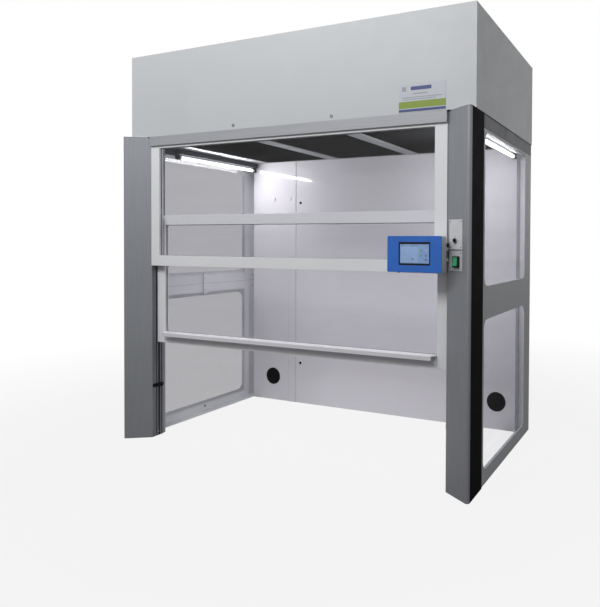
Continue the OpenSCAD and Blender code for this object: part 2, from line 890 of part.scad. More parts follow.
// Ring guards in the two outlets of the roof.
module exhaust_grilles() {
    bar = 4;
    rings = 5;
    step = outlet_r / rings;
    color(black) fan_pair() translate([0, 0, roof_z - sheet_t - bar]) {
        difference() {
            cylinder(r = outlet_r + 12, h = bar, $fn = 96);
            translate([0, 0, -1]) cylinder(r = outlet_r - 1, h = bar + 2, $fn = 96);
        }
        for (i = [1 : rings - 1]) difference() {
            cylinder(r = i * step + bar / 2, h = bar, $fn = 96);
            translate([0, 0, -1]) cylinder(r = i * step - bar / 2, h = bar + 2, $fn = 96);
        }
        for (a = [0, 60, 120]) rotate(a) translate([-outlet_r, -bar / 2, 0.5])
            cube([2 * outlet_r, bar, bar - 1]);
    }
}

// Closed electrics box on the front beam.
module control_box() {
    z0 = front_beam_z + front_beam_h;
    color("#6c7075") block(box_x, box_x + box_w, sheet_t + 18, front_beam_y - 1, z0, z0 + box_h);
}

// A glazed frame: outer half width, depth, heights and rail sizes.
module glazed_frame(hx, y, z0, z1, side, low, high) {
    gx = hx - side + glass_in;
    gy = y + (frame_d - glass_t) / 2;
    difference() {
        block(-hx, hx, y, y + frame_d, z0, z1);
        block(-hx + side, hx - side, y - 1, y + frame_d + 1, z0 + low, z1 - high);
        block(-gx, gx, gy, gy + glass_t, z0 + low - glass_in, z1 - high + glass_in);
    }
}

module frame_pane(hx, y, z0, z1, side, low, high) {
    gx = hx - side + glass_in;
    gy = y + (frame_d - glass_t) / 2;
    block(-gx, gx, gy, gy + glass_t, z0 + low - glass_in, z1 - high + glass_in);
}

module window_frame() {
    color("#c9cccf")
        glazed_frame(inner_x, window_y, window_z, chamber_h, stile_w, window_rail_h, window_head_h);
}

module window_glass() {
    color(glass_tint)
        frame_pane(inner_x, window_y, window_z, chamber_h, stile_w, window_rail_h, window_head_h);
}

module sash_frame() {
    color("#c9cccf")
        glazed_frame(sash_x, sash_y, sash_z, sash_z + sash_h, sash_stile, sash_bottom_h, sash_top_h);
}

module sash_glass() {
    color(glass_tint)
        frame_pane(sash_x, sash_y, sash_z, sash_z + sash_h, sash_stile, sash_bottom_h, sash_top_h);
}

// Folded handle lip along the bottom rail, with its ends cut slantwise.
module sash_handle() {
    x = sash_x - sash_stile;
    t = 3;
    web_h = 34;
    z1 = sash_z + sash_bottom_h;
    y0 = sash_y - lip_d;
    cut = lip_d * 0.4;
    color("#dcdfe1") difference() {
        translate([-x, 0, 0]) rotate([90, 0, 90]) linear_extrude(2 * x) polygon([
            [sash_y, z1], [y0 + 1, z1], [y0, z1 - 1], [y0, z1 - lip_h], [y0 + t, z1 - lip_h],
            [y0 + t, z1 - t - 1], [sash_y - t, z1 - t - 1], [sash_y - t, z1 - web_h], [sash_y, z1 - web_h]]);
        pair() translate([0, 0, z1 - lip_h - 40]) linear_extrude(80)
            polygon([[x + 1, y0 - 1], [x + 1, y0 + 2 * cut], [x - cut, y0 - 1]]);
    }
}

// Nylon shoes run in the slots. The lower pair reaches into the post for the cable.
module sash_shoes() {
    neck = slot_w / 2 - slot_gap;
    head_x0 = inner_x + track_t + clear_gap;
    head_x1 = head_x0 + 6;
    head_front = 4;
    head_rear = 2;
    arm_x1 = run_in_x + 8;
    color("#e6e6e2") pair() {
        for (z = [shoe_low_z, shoe_high_z]) {
            block(sash_x, head_x1, slot_y - neck, slot_y + neck, z, z + shoe_h);
            block(head_x0, head_x1, slot_y - neck - head_front, slot_y + neck + head_rear, z, z + shoe_h);
        }
        block(head_x1, arm_x1, slot_y - neck, slot_y + neck, shoe_low_z, shoe_low_z + shoe_h / 2);
    }
}

module counterweight() {
    color("#4d5054") block(run_out_x - weight_w / 2, run_out_x + weight_w / 2,
        slot_y - weight_d / 2, slot_y + weight_d / 2, weight_z, weight_top);
}

module counterweight_left() {
    left() counterweight();
}

module counterweight_right() {
    counterweight();
}

// Grooved pulley on its pin.
module pulley() {
    bore = pin_r + running_gap;
    color("#b8babc") translate([inner_x + pulley_x, slot_y, pulley_z]) rotate([90, 0, 0])
        rotate_extrude($fn = 96) polygon([
            [bore, -pulley_half], [rim_r, -pulley_half], [rim_r, -groove_half - 0.6],
            [groove_r, -groove_half], [groove_r, groove_half],
            [rim_r, groove_half + 0.6], [rim_r, pulley_half], [bore, pulley_half]]);
}

module pulley_left() {
    left() pulley();
}

module pulley_right() {
    pulley();
}

// Plate on the post's rear wall with the pulley's pin and its collar.
module pulley_brackets() {
    x = inner_x + pulley_x;
    plate_half = 18;
    plate_half_h = 30;
    plate_d = 4;
    head_h = 4;
    wall_y = post_rear_y - post_wall;
    pin_y1 = wall_y - plate_d;
    gap = pulley_half + clear_gap;
    color(alu_dark) pair() {
        block(x - plate_half, x + plate_half, pin_y1, wall_y,
            pulley_z - plate_half_h, pulley_z + plate_half_h);
        rod_y(x, pulley_z, pin_r + 4, slot_y + gap, pin_y1);
        rod_y(x, pulley_z, pin_r, slot_y - gap - head_h, pin_y1);
        rod_y(x, pulley_z, pin_r + 3, slot_y - gap - head_h, slot_y - gap);
    }
}

// Steel cable from each lower shoe, over its pulley, to the counterweight.
module sash_cables() {
    color("#77797c") pair() {
        translate([run_in_x, slot_y, shoe_low_z + shoe_h / 2])
            cylinder(r = cable_r, h = pulley_z - shoe_low_z - shoe_h / 2);
        translate([run_out_x, slot_y, weight_top]) cylinder(r = cable_r, h = pulley_z - weight_top);
        translate([inner_x + pulley_x, slot_y, pulley_z]) rotate([90, 0, 0])
            rotate_extrude(angle = 180, $fn = 96) translate([pulley_r, 0]) circle(r = cable_r, $fn = 24);
    }
}

// Fixed half of the display's hinge, on the right post's inner edge, with the pin.
module display_bracket() {
    z0 = lug_low_z + lug_h + clear_gap;
    z1 = lug_high_z - clear_gap;
    foot_x0 = inner_x + 1;
    foot_x1 = inner_x + 9;
    head_h = 4;
    color(black) {
        translate([0, 0, z0]) linear_extrude(z1 - z0) union() {
            polygon([
                [foot_x0, face_y(foot_x0 - inner_x)], [hinge_x - hinge_r, hinge_y],
                [hinge_x + hinge_r - 1, hinge_y], [foot_x1, face_y(foot_x1 - inner_x)]]);
            translate([hinge_x, hinge_y]) circle(r = hinge_r);
        }
        translate([hinge_x, hinge_y, lug_low_z - clear_gap - head_h]) cylinder(r = hinge_r - 1, h = head_h);
        translate([hinge_x, hinge_y, lug_low_z - clear_gap])
            cylinder(r = hinge_pin_r, h = knob_z + 9 - lug_low_z);
    }
}

// Rear shell of the display with two hinge lugs.
module display_housing() {
    y0 = display_front + fascia_t;
    wall = 3;
    color("#c7cbd0") difference() {
        union() {
            translate([0, display_back, 0]) rotate([90, 0, 0]) linear_extrude(display_back - y0)
                polygon(round_rect(display_x0, display_z, display_x1, display_z1, display_r));
            for (z = [lug_low_z, lug_high_z]) {
                translate([hinge_x, hinge_y, z]) cylinder(r = hinge_r, h = lug_h);
                block(hinge_x - hinge_r, hinge_x + hinge_r / 2, display_back - eps, hinge_y, z, z + lug_h);
            }
        }
        translate([0, display_back - wall, 0]) rotate([90, 0, 0]) linear_extrude(display_d)
            polygon(round_rect(display_x0 + wall, display_z + wall,
                display_x1 - wall, display_z1 - wall, display_r - 2));
        for (z = [lug_low_z, lug_high_z]) translate([hinge_x, hinge_y, z - 1])
            cylinder(r = hinge_pin_r + running_gap, h = lug_h + 2);
    }
}

// Blue front plate of the display with a window for the screen.
module display_fascia() {
    color("#2e66b4") difference() {
        translate([0, display_front + fascia_t, 0]) rotate([90, 0, 0]) linear_extrude(fascia_t)
            polygon(round_rect(display_x0, display_z, display_x1, display_z1, display_r));
        block(bezel_x0, bezel_x0 + bezel_w, display_front - 1, display_front + fascia_t + 1,
            bezel_z0, bezel_z0 + bezel_h);
    }
}

module display_bezel() {
    color(black) difference() {
        block(bezel_x0, bezel_x0 + bezel_w, display_front + 1, screen_y1 + 4, bezel_z0, bezel_z0 + bezel_h);
        block(bezel_x0 + bezel_side, bezel_x0 + bezel_w - bezel_side, display_front, screen_y1,
            bezel_z0 + bezel_low, bezel_z0 + bezel_h - bezel_low);
    }
}

module display_screen() {
    color("#9db4d8") block(bezel_x0 + bezel_side, bezel_x0 + bezel_w - bezel_side,
        screen_y1 - 2, screen_y1, bezel_z0 + bezel_low, bezel_z0 + bezel_h - bezel_low);
}

// Fluted knob on the hinge pin's upper end.
module display_knob() {
    flutes = 10;
    flute_r = 1.6;
    color(black) translate([hinge_x, hinge_y, knob_z]) difference() {
        cylinder(r = lock_knob_r, h = knob_h);
        translate([0, 0, -1]) cylinder(r = hinge_pin_r + running_gap, h = 10.5);
        for (i = [0 : flutes - 1]) rotate(i * 360 / flutes) translate([lock_knob_r + flute_r / 2, 0, -1])
            cylinder(r = flute_r, h = knob_h + 2, $fn = 16);
    }
}

// Places pieces on the right post's splayed face: x along it, minus y out of it.
module on_face() {
    translate([inner_x, post_inner_y, 0]) rotate(-face_a) children();
}

module key_plate() {
    color("#cfd1d2") on_face() difference() {
        block(plate_s0, plate_s0 + plate_w, -plate_t, 0, key_plate_z, key_plate_z + key_plate_h);
        rod_y(key_s, key_z, collar_neck_r, -plate_t - 1, 1);
    }
}

module key_collar() {
    color("#3a3c3f") on_face() difference() {
        union() {
            rod_y(key_s, key_z, collar_r, -plate_t - 4, -plate_t);
            rod_y(key_s, key_z, collar_neck_r, -plate_t, 0);
        }
        rod_y(key_s, key_z, rotor_r + running_gap, -plate_t - 5, -0.5);
    }
}

// Turning part of the key switch, with a grip bar.
module key_rotor() {
    color(black) on_face() {
        rod_y(key_s, key_z, rotor_r, -plate_t - 5, -1);
        block(key_s - 2, key_s + 2, -plate_t - 11, -plate_t - 5,
            key_z - rotor_r + 0.5, key_z + rotor_r - 0.5);
    }
}

// Block centred on the rocker, in the face's frame.
module rocker_block(half_x, half_z, y0, y1) {
    block(rocker_s - half_x, rocker_s + half_x, y0, y1, rocker_z - half_z, rocker_z + half_z);
}

module switch_plate() {
    color("#5d6164") on_face() difference() {
        block(plate_s0, plate_s0 + plate_w, -plate_t, 0, switch_plate_z, switch_plate_z + rocker_plate_h);
        rocker_block(rocker_w / 2 - bezel_lap, rocker_h / 2 - bezel_lap, -plate_t - 1, 1);
    }
}

// Rim of the rocker switch, with a blind seat for the rocker's pin at each side.
module rocker_bezel() {
    w = rocker_w / 2;
    h = rocker_h / 2;
    color(black) on_face() difference() {
        union() {
            rocker_block(w, h, -plate_t - bezel_t, -plate_t);
            rocker_block(w - bezel_lap, h - bezel_lap, -plate_t, 0);
        }
        rocker_block(w - rocker_rim, h - rocker_rim, -plate_t - bezel_t - 1, -0.8);
        rod_x(rocker_axis, rocker_z, rocker_pin_r + running_gap, rocker_s - w + 1, rocker_s + w - 1);
    }
}

// Lit rocker: two slanted halves on a pin. It is drawn pressed at its lower half.
module rocker() {
    half = rocker_w / 2 - rocker_rim - clear_gap;
    pin_half = rocker_w / 2 - 1 - clear_gap;
    tilt = 8;
    color("#4c8a63") on_face() {
        translate([rocker_s, rocker_axis, rocker_z]) rotate([-tilt, 0, 0]) rotate([90, 0, 90])
            translate([0, 0, -half]) linear_extrude(2 * half) polygon([
                [-7.2, -rocker_in], [-5.4, 0], [-7.2, rocker_in], [-1, rocker_in],
                [1.6, 0], [-1, -rocker_in]]);
        rod_x(rocker_axis, rocker_z, rocker_pin_r, rocker_s - pin_half, rocker_s + pin_half);
    }
}

// Moves the origin from the head's front face to the middle of the outline.
module place() {
    translate([0, -mid_y, 0]) children();
}

place() housing_shell();
place() front_panel();
place() panel_screws();
place() label_card();
place() front_beam();
place() side_beams();
place() lintel();
place() post_left();
place() post_right();
place() post_caps();
place() post_covers();
place() sash_tracks();
place() sash_stops();
place() side_panel_left();
place() side_panel_right();
place() side_windows();
place() pane_clips();
place() back_panel();
place() liner_left();
place() liner_main();
place() liner_strip();
place() liner_plugs();
place() cable_ports();
place() power_inlet();
place() ceiling_frame();
place() prefilters();
place() filter_seals();
place() carbon_filters();
place() lamp_bodies();
place() lamp_tubes();
place() blower_deck();
place() fan_mounts();
place() impeller_left();
place() impeller_right();
place() exhaust_grilles();
place() control_box();
place() window_frame();
place() window_glass();
place() sash_frame();
place() sash_glass();
place() sash_handle();
place() sash_shoes();
place() counterweight_left();
place() counterweight_right();
place() pulley_left();
place() pulley_right();
place() pulley_brackets();
place() sash_cables();
place() display_bracket();
place() display_housing();
place() display_fascia();
place() display_bezel();
place() display_screen();
place() display_knob();
place() key_plate();
place() key_collar();
place() key_rotor();
place() switch_plate();
place() rocker_bezel();
place() rocker();
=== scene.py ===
# Ductless fume hood: a head with filters and fans, splayed aluminium posts,
# glazed sides, a fixed upper window, a sliding sash, and a display with two switches.
import json
import math
import bpy
import bmesh
from mathutils import Matrix, Vector


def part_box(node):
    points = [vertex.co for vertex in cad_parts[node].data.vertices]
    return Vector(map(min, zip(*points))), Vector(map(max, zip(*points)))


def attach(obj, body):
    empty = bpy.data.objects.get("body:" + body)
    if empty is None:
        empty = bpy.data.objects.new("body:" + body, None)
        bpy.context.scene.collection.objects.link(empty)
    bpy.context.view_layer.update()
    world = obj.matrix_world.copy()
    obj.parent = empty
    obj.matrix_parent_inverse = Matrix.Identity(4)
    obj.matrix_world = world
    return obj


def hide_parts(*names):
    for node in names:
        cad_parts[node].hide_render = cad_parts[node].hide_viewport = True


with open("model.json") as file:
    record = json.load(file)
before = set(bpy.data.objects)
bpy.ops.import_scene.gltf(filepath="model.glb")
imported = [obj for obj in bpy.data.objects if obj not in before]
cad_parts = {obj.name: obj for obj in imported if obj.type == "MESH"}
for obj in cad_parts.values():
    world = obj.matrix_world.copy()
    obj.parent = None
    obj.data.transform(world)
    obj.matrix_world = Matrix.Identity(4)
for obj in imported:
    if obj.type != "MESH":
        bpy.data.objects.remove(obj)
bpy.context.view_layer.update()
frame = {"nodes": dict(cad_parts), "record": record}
nodes = frame["nodes"]
record = frame["record"]
bodyOf = {node: body for body, members in record["behaviour"]["bodies"].items() for node in members}
sideName = {-1: "left", 1: "right"}
sunk = 0.0002  # how far small pieces are set into what carries them
print("frame loaded:", len(nodes), "nodes")


# Small helpers
def linearColour(hexText):
    channels = [int(hexText[i:i + 2], 16) / 255 for i in (1, 3, 5)]
    return [c / 12.92 if c <= 0.04045 else ((c + 0.055) / 1.055) ** 2.4 for c in channels] + [1]


def perMillimetre(size):  # texture scale of a pattern whose features are this many millimetres wide
    return 1000 / size


def addNode(tree, kind, settings=None, links=None):
    # A node named as a source stands for its first output.
    node = tree.nodes.new(kind)
    for name, value in (settings or {}).items():
        if isinstance(name, str) and hasattr(node, name):
            setattr(node, name, value)
        else:
            node.inputs[name].default_value = value
    for name, source in (links or {}).items():
        tree.links.new(getattr(source, "outputs", [source])[0], node.inputs[name])
    return node


def startMaterial(name):
    material = bpy.data.materials.new(name)
    material.use_nodes = True
    tree = material.node_tree
    tree.nodes.clear()
    return material, tree, addNode(tree, "ShaderNodeTexCoord").outputs["Object"]


def finishMaterial(material, shader):
    addNode(material.node_tree, "ShaderNodeOutputMaterial", {}, {0: shader})
    return material


mixA, mixB, mixColour = 6, 7, 2  # sockets of a Mix node that mixes colours


def twoTone(tree, pattern, low, high, colour, shade):
    # The colour turns into the shade where the pattern rises from low to high.
    share = addNode(tree, "ShaderNodeMapRange", {"From Min": low, "From Max": high}, {"Value": pattern})
    tint = addNode(tree, "ShaderNodeMix", {"data_type": "RGBA", mixA: linearColour(colour),
        mixB: linearColour(shade)}, {0: share})
    return tint.outputs[mixColour]


# Materials
def surface(name, colour, shade, patterns, settings, stretch=None):
    # Each pattern is a noise, given by its feature size in millimetres and its detail. Then come, for the
    # tone, the two levels between which the colour turns into the shade; for the gloss, such levels and
    # the roughness at each; and for the relief, its strength and its height in metres.
    material, tree, place = startMaterial(name)
    if stretch:
        place = addNode(tree, "ShaderNodeMapping", {"Scale": stretch}, {"Vector": place})
    links = {}
    for use, (size, detail, *values) in patterns.items():
        noise = addNode(tree, "ShaderNodeTexNoise", {"Scale": perMillimetre(size), "Detail": detail},
            {"Vector": place})
        if use == "tone":
            links["Base Color"] = twoTone(tree, noise, *values, colour, shade)
        elif use == "gloss":
            labels = ("From Min", "From Max", "To Min", "To Max")
            links["Roughness"] = addNode(tree, "ShaderNodeMapRange", dict(zip(labels, values)),
                {"Value": noise})
        else:
            links["Normal"] = addNode(tree, "ShaderNodeBump", dict(zip(("Strength", "Distance"), values)),
                {"Height": noise})
    return finishMaterial(material, addNode(tree, "ShaderNodeBsdfPrincipled", settings, links))


def powderCoat(name, colour, shade, roughness=0.45, peel=2.2, cloud=380, uneven=0.05, shine=0.5):
    # Powder coat: sprayed dry and baked on, so it has soft orange peel, an even satin gloss
    # and a faint cloudiness where the film is thicker.
    return surface(name, colour, shade, {"tone": (cloud, 3.0, 0.3, 0.7),
        "gloss": (60, 5.0, 0.3, 0.7, roughness - uneven, roughness + uneven),
        "relief": (peel, 2.0, 0.25, 0.0002)}, {"Specular IOR Level": shine})


def grainedMetal(name, colour, shade, roughness, along, metallic=1.0, grain=3.0, stretch=60):
    # Drawn or brushed metal: fine scratches run one way, so its gloss is streaked along them.
    # Real scratches are a few hundredths of a millimetre wide; they are drawn 1 to 3 mm apart to show.
    # The stretched place holds the grain's size, so the noise itself stays at 1000 mm, a scale of 1.
    scale = [perMillimetre(grain)] * 3
    scale[along] = perMillimetre(grain * stretch)
    lines = (1000, 4.0)
    return surface(name, colour, shade, {"tone": (*lines, 0.3, 0.7),
        "gloss": (*lines, 0.3, 0.7, roughness - 0.07, roughness + 0.07),
        "relief": (*lines, 0.12, 0.0001)}, {"Metallic": metallic}, scale)


def mouldedPlastic(name, colour, shade, roughness, pit=0.9, coat=0.0, glow=0.0, shine=0.5):
    # Injection moulded plastic: the mould's spark-eroded pits leave a fine even grain.
    flow = (35, 2.0, 0.35, 0.65)
    return surface(name, colour, shade, {"tone": flow, "gloss": (*flow, roughness - 0.05, roughness + 0.05),
        "relief": (pit, 3.0, 0.3, 0.00015)}, {"Coat Weight": coat, "Specular IOR Level": shine,
        "Emission Color": linearColour(colour), "Emission Strength": glow})


def glossLaminate(name, colour, shade):
    # Melamine-faced laminate: pressed against polished plates, so it mirrors a lamp sharply, with long
    # faint waves.
    return surface(name, colour, shade, {"tone": (520, 3.0, 0.3, 0.7),
        "gloss": (110, 4.0, 0.35, 0.65, 0.06, 0.1), "relief": (90, 2.0, 0.4, 0.0004)}, {})


def castIron(name, colour, shade):
    # Painted cast iron: the sand mould's grain shows through a thin coat of paint.
    return surface(name, colour, shade, {"tone": (2.5, 6.0, 0.0, 1.0), "relief": (2.5, 6.0, 0.6, 0.0006)},
        {"Roughness": 0.62})


def printedPaper(name, colour, shade):
    # Laminated card: coated paper under a clear film, so it is smooth with a soft sheen.
    return surface(name, colour, shade, {"tone": (5, 6.0, 0.0, 1.0),
        "gloss": (5, 6.0, 0.0, 1.0, 0.28, 0.42)}, {})


def floatGlass(name, tint, haze):
    # Float glass: flat and clear. It mirrors a little head on and more at a glancing angle,
    # and a thin film of wiped dust makes it just visible.
    material, tree, place = startMaterial(name)
    wipes = addNode(tree, "ShaderNodeMapping", {"Rotation": (0.3, 0.9, 0.2), "Scale": (1.0, 1.0, 6.0)},
        {"Vector": place})
    film = addNode(tree, "ShaderNodeTexNoise", {"Scale": perMillimetre(300), "Detail": 4.0},
        {"Vector": wipes})
    amount = addNode(tree, "ShaderNodeMapRange", {"From Min": 0.35, "From Max": 0.7, "To Min": 0.0,
        "To Max": haze},
        {"Value": film})
    clear = addNode(tree, "ShaderNodeBsdfTransparent", {"Color": linearColour(tint)})
    dust = addNode(tree, "ShaderNodeBsdfDiffuse", {"Color": linearColour("#d4d6da")})
    seen = addNode(tree, "ShaderNodeMixShader", {}, {0: amount, 1: clear, 2: dust})
    facing = addNode(tree, "ShaderNodeLayerWeight", {"Blend": 0.5})
    edge = addNode(tree, "ShaderNodeMath", {"operation": "POWER", 1: 12.0}, {0: facing.outputs["Facing"]})
    share = addNode(tree, "ShaderNodeMath", {"operation": "MULTIPLY_ADD", 1: 0.5, 2: 0.009}, {0: edge})
    mirror = addNode(tree, "ShaderNodeBsdfAnisotropic", {"Color": (1, 1, 1, 1), "Roughness": 0.02})
    both = addNode(tree, "ShaderNodeMixShader", {}, {0: share, 1: seen, 2: mirror})
    return finishMaterial(material, both)


def galvanisedSteel(name):
    # Hot-dip zinc: it sets in crystals some 8 mm across, each with its own grey.
    material, tree, place = startMaterial(name)
    crystals = addNode(tree, "ShaderNodeTexVoronoi", {"Scale": perMillimetre(8)}, {"Vector": place})
    tone = addNode(tree, "ShaderNodeSeparateColor", {}, {0: crystals.outputs["Color"]})
    tint = twoTone(tree, tone, 0.0, 1.0, "#a9acaf", "#8e9194")
    gloss = addNode(tree, "ShaderNodeMapRange", {"To Min": 0.34, "To Max": 0.5}, {"Value": tone.outputs[1]})
    shader = addNode(tree, "ShaderNodeBsdfPrincipled", {"Metallic": 0.85}, {"Base Color": tint,
        "Roughness": gloss})
    return finishMaterial(material, shader)


def feltedFleece(name, colour, shade):
    # Filter fleece: polyester fibres felted at random, matt, with lighter fibres on top.
    material, tree, place = startMaterial(name)
    fibres = addNode(tree, "ShaderNodeTexNoise", {"Scale": perMillimetre(3), "Detail": 8.0,
        "Roughness": 0.75}, {"Vector": place})
    tint = twoTone(tree, fibres, 0.42, 0.68, colour, shade)
    bump = addNode(tree, "ShaderNodeBump", {"Strength": 0.6, "Distance": 0.0012},
        {"Height": fibres})
    shader = addNode(tree, "ShaderNodeBsdfPrincipled", {"Roughness": 0.95, "Sheen Weight": 0.05},
        {"Base Color": tint, "Normal": bump})
    return finishMaterial(material, shader)


def litTube(name, direct, mirrored):
    # Opal LED tube: a frosted polycarbonate pipe, lit evenly from within. Shiny faces mirror its full
    # brightness.
    material, tree, place = startMaterial(name)
    frost = addNode(tree, "ShaderNodeTexNoise", {"Scale": perMillimetre(4)}, {"Vector": place})
    gloss = addNode(tree, "ShaderNodeMapRange", {"To Min": 0.3, "To Max": 0.45},
        {"Value": frost})
    rays = addNode(tree, "ShaderNodeLightPath")
    strength = addNode(tree, "ShaderNodeMath", {"operation": "MULTIPLY_ADD", 1: mirrored - direct,
        2: direct},
        {0: rays.outputs["Is Glossy Ray"]})
    shader = addNode(tree, "ShaderNodeBsdfPrincipled", {"Base Color": (1, 1, 1, 1),
        "Emission Color": (1, 1, 1, 1)},
        {"Roughness": gloss, "Emission Strength": strength})
    return finishMaterial(material, shader)


headCoat = powderCoat("powder coat, light grey", "#c8cbce", "#c3c6c9")
# A lighter copy of the light grey coat for the rounded edges: painted edge highlight.
headEdgeHighlight = powderCoat("powder coat, light grey, painted edge highlight", "#d3d5d7", "#c9ccce", 0.4)
linerLaminate = glossLaminate("compact laminate, pale grey", "#d3d1d7", "#cecbd2")
# Whiter than the outer coat; on the side panels' front faces it is painted light.
whiteCoatAndPaintedLight = powderCoat("powder coat, white, painted light on front faces", "#e9e9ed", "#e2e2e7", 0.4)
ceilingCoat = powderCoat("powder coat, mid grey", "#aeb0b3", "#a3a5a8", 0.5)
beamCoat = powderCoat("powder coat, slate grey", "#3f4247", "#383b40", 0.5)
windowCoat = powderCoat("powder coat on aluminium, pale grey", "#ebecef", "#e4e5e8", 0.42)
# For rounded edges: a little darker than the window coat, a painted edge shade on the frames; lighter than
# the plate coat, a painted edge highlight on the key plate.
windowEdgeShading = powderCoat("powder coat on aluminium, painted edge shading", "#e2e3e5", "#d8dadc", 0.36)
plateCoat = powderCoat("powder coat, plate grey", "#d0d1d4", "#c8c9cc", 0.45, 1.2, 60)
motorEnamel = powderCoat("enamel, motor grey", "#5f6266", "#54575b", 0.4, 3.0, 60)
postAluminium = grainedMetal("anodised aluminium, posts", "#919499", "#898c91", 0.45, 2, 0.4)
# For rounded edges: lighter than the posts' aluminium, a painted edge highlight on the posts and caps;
# darker than the lintel's, a painted edge shade on the lintel.
postEdgeShading = grainedMetal("anodised aluminium, painted edge shading", "#9a9da1", "#909397", 0.42, 2, 0.35)
lintelAluminium = grainedMetal("anodised aluminium, lintel", "#a4a6ab", "#9c9ea3", 0.5, 0, 0.25)
lipCoat = powderCoat("powder coat on aluminium, handle lip", "#e0dfe5", "#d8d7de", 0.36)
coverBlack = powderCoat("matt black coat, post covers", "#0b0a0b", "#080708", 0.75, 2.2, 380, 0.04, 0.05)
lampCoat = powderCoat("powder coat, lamp grey", "#44464a", "#3c3e42", 0.75, shine=0.05)
capBlack = powderCoat("matt black hole cap", "#0b0a0b", "#080708", 0.7, 2.2, 380, 0.04, 0.1)
steelScrew = grainedMetal("stainless steel, screws", "#8f9294", "#7e8183", 0.3, 2, 1.0, 0.8, 3)
turnedSteel = grainedMetal("turned steel", "#b8babc", "#a6a8aa", 0.3, 1, 1.0, 1.0, 2)
wireRope = grainedMetal("steel wire rope", "#8a8c8f", "#5d5f62", 0.4, 0, 1.0, 2.0, 1)
zincSteel = galvanisedSteel("galvanised steel")
blackAbs = mouldedPlastic("ABS, black", "#141316", "#0f0e10", 0.5, shine=0.25)
trackAluminium = grainedMetal("anodised aluminium, track", "#74767b", "#6b6d72", 0.5, 2, 0.25)
hingeGrey = powderCoat("powder coat, hinge grey", "#55585c", "#4d5054", 0.5)
rubberBlack = mouldedPlastic("EPDM rubber, black", "#0d0c0d", "#080808", 0.75, 1.6, shine=0.2)
siliconeClear = mouldedPlastic("silicone bead, clear", "#c6c7cc", "#bebfc5", 0.4, 2.0)
siliconeGrey = mouldedPlastic("silicone bead, grey", "#9b9aa0", "#929197", 0.6, 2.0)
nylonWhite = mouldedPlastic("nylon, natural", "#e6e6e0", "#dcdcd4", 0.5, 1.4)
filterCase = mouldedPlastic("polypropylene, filter case", "#8f9294", "#868a8c", 0.55)
fanPlastic = mouldedPlastic("polypropylene, impeller", "#3b3e42", "#33363a", 0.5)
displayAbs = mouldedPlastic("ABS, display grey", "#c9cdd2", "#c1c5ca", 0.45)
# A lighter copy of the display grey for the rounded edges: painted edge highlight.
displayEdgeHighlight = mouldedPlastic("ABS, display grey, painted edge highlight", "#d6d9dd", "#ced1d6", 0.38)
fasciaBlue = mouldedPlastic("polyester overlay, blue", "#2d6ecc", "#2b68c2", 0.38, 0.7)
screenGlass = mouldedPlastic("screen under glass", "#86a4d2", "#7f9dcc", 0.2, 6.0, 0.3, 0.1)
screenPale = mouldedPlastic("screen field, pale", "#93b0da", "#8ca9d5", 0.2, 6.0, 0.3, 0.1)
screenDeep = mouldedPlastic("screen field, deep", "#6c81ad", "#667ba6", 0.2, 6.0, 0.3, 0.08)
screenGreen = mouldedPlastic("screen field, green", "#6fa79b", "#69a094", 0.2, 6.0, 0.3, 0.08)
# The switch plate's grey, made lighter as painted light to offset the display's shadow on the plate.
switchPlatePaintedLight = powderCoat("powder coat, switch plate grey, lightened as painted light", "#bec0c4", "#b6b8bc", 0.45, 1.2, 60)
rockerLit = mouldedPlastic("polycarbonate, lit green", "#368f60", "#308256", 0.3, 2.0, 0.3, 0.2)
cardWhite = printedPaper("laminated card, white", "#c4c8d0", "#bcc0c9")
cardLime = printedPaper("laminated card, lime", "#869b35", "#7e932f")
cardBlue = printedPaper("laminated card, blue", "#394a80", "#344476")
cardGrey = printedPaper("laminated card, grey", "#9fa3a8", "#969a9f")
clearGlass = floatGlass("float glass", "#fcfcfd", 0.02)
fleece = feltedFleece("filter fleece, charcoal", "#0b0b0c", "#1a1a1c")
weightIron = castIron("cast iron, painted", "#4d5054", "#414448")
tubeGlow = litTube("opal tube, lit", 2.5, 28.0)
print("materials:", len(bpy.data.materials))


# Mesh helpers
def addObject(name, data):
    made = bpy.data.objects.new(name, data)
    bpy.context.scene.collection.objects.link(made)
    return made


def giveMaterials(mesh, materials):
    mesh.materials.clear()
    for material in materials:
        mesh.materials.append(material)


def newPiece(name, mesh, like, materials, replaced=(), body=None):
    # The piece takes the body of the CAD node that it is like, unless a body is given.
    piece = addObject(name, mesh)
    giveMaterials(mesh, materials)
    if replaced:
        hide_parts(*replaced)
    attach(piece, body or bodyOf[like])
    return piece


def bakeModifiers(carrier):  # the carrier's shape with its modifiers, as a plain mesh
    evaluated = carrier.evaluated_get(bpy.context.evaluated_depsgraph_get())
    mesh = bpy.data.meshes.new_from_object(evaluated)
    bpy.data.objects.remove(carrier)
    return mesh


def cutMesh(mesh, tool):  # the mesh with the tool mesh taken out of it
    carrier, cutter = addObject("carrier", mesh), addObject("cutter", tool)
    cut = carrier.modifiers.new("Cut", "BOOLEAN")
    cut.operation = "DIFFERENCE"
    cut.solver = "EXACT"
    cut.object = cutter
    result = bakeModifiers(carrier)
    bpy.data.objects.remove(cutter)
    return result


def bevelMesh(mesh, width, steps=2, edgeSlot=-1, limit=35):
    carrier = addObject("carrier", mesh)
    mesh.shade_smooth()
    bevel = carrier.modifiers.new("Bevel", "BEVEL")
    bevel.width = width
    bevel.segments = steps
    bevel.limit_method = "ANGLE"
    bevel.angle_limit = math.radians(limit)
    bevel.material = edgeSlot
    even = carrier.modifiers.new("Even", "WEIGHTED_NORMAL")
    even.weight = 100
    return bakeModifiers(carrier)


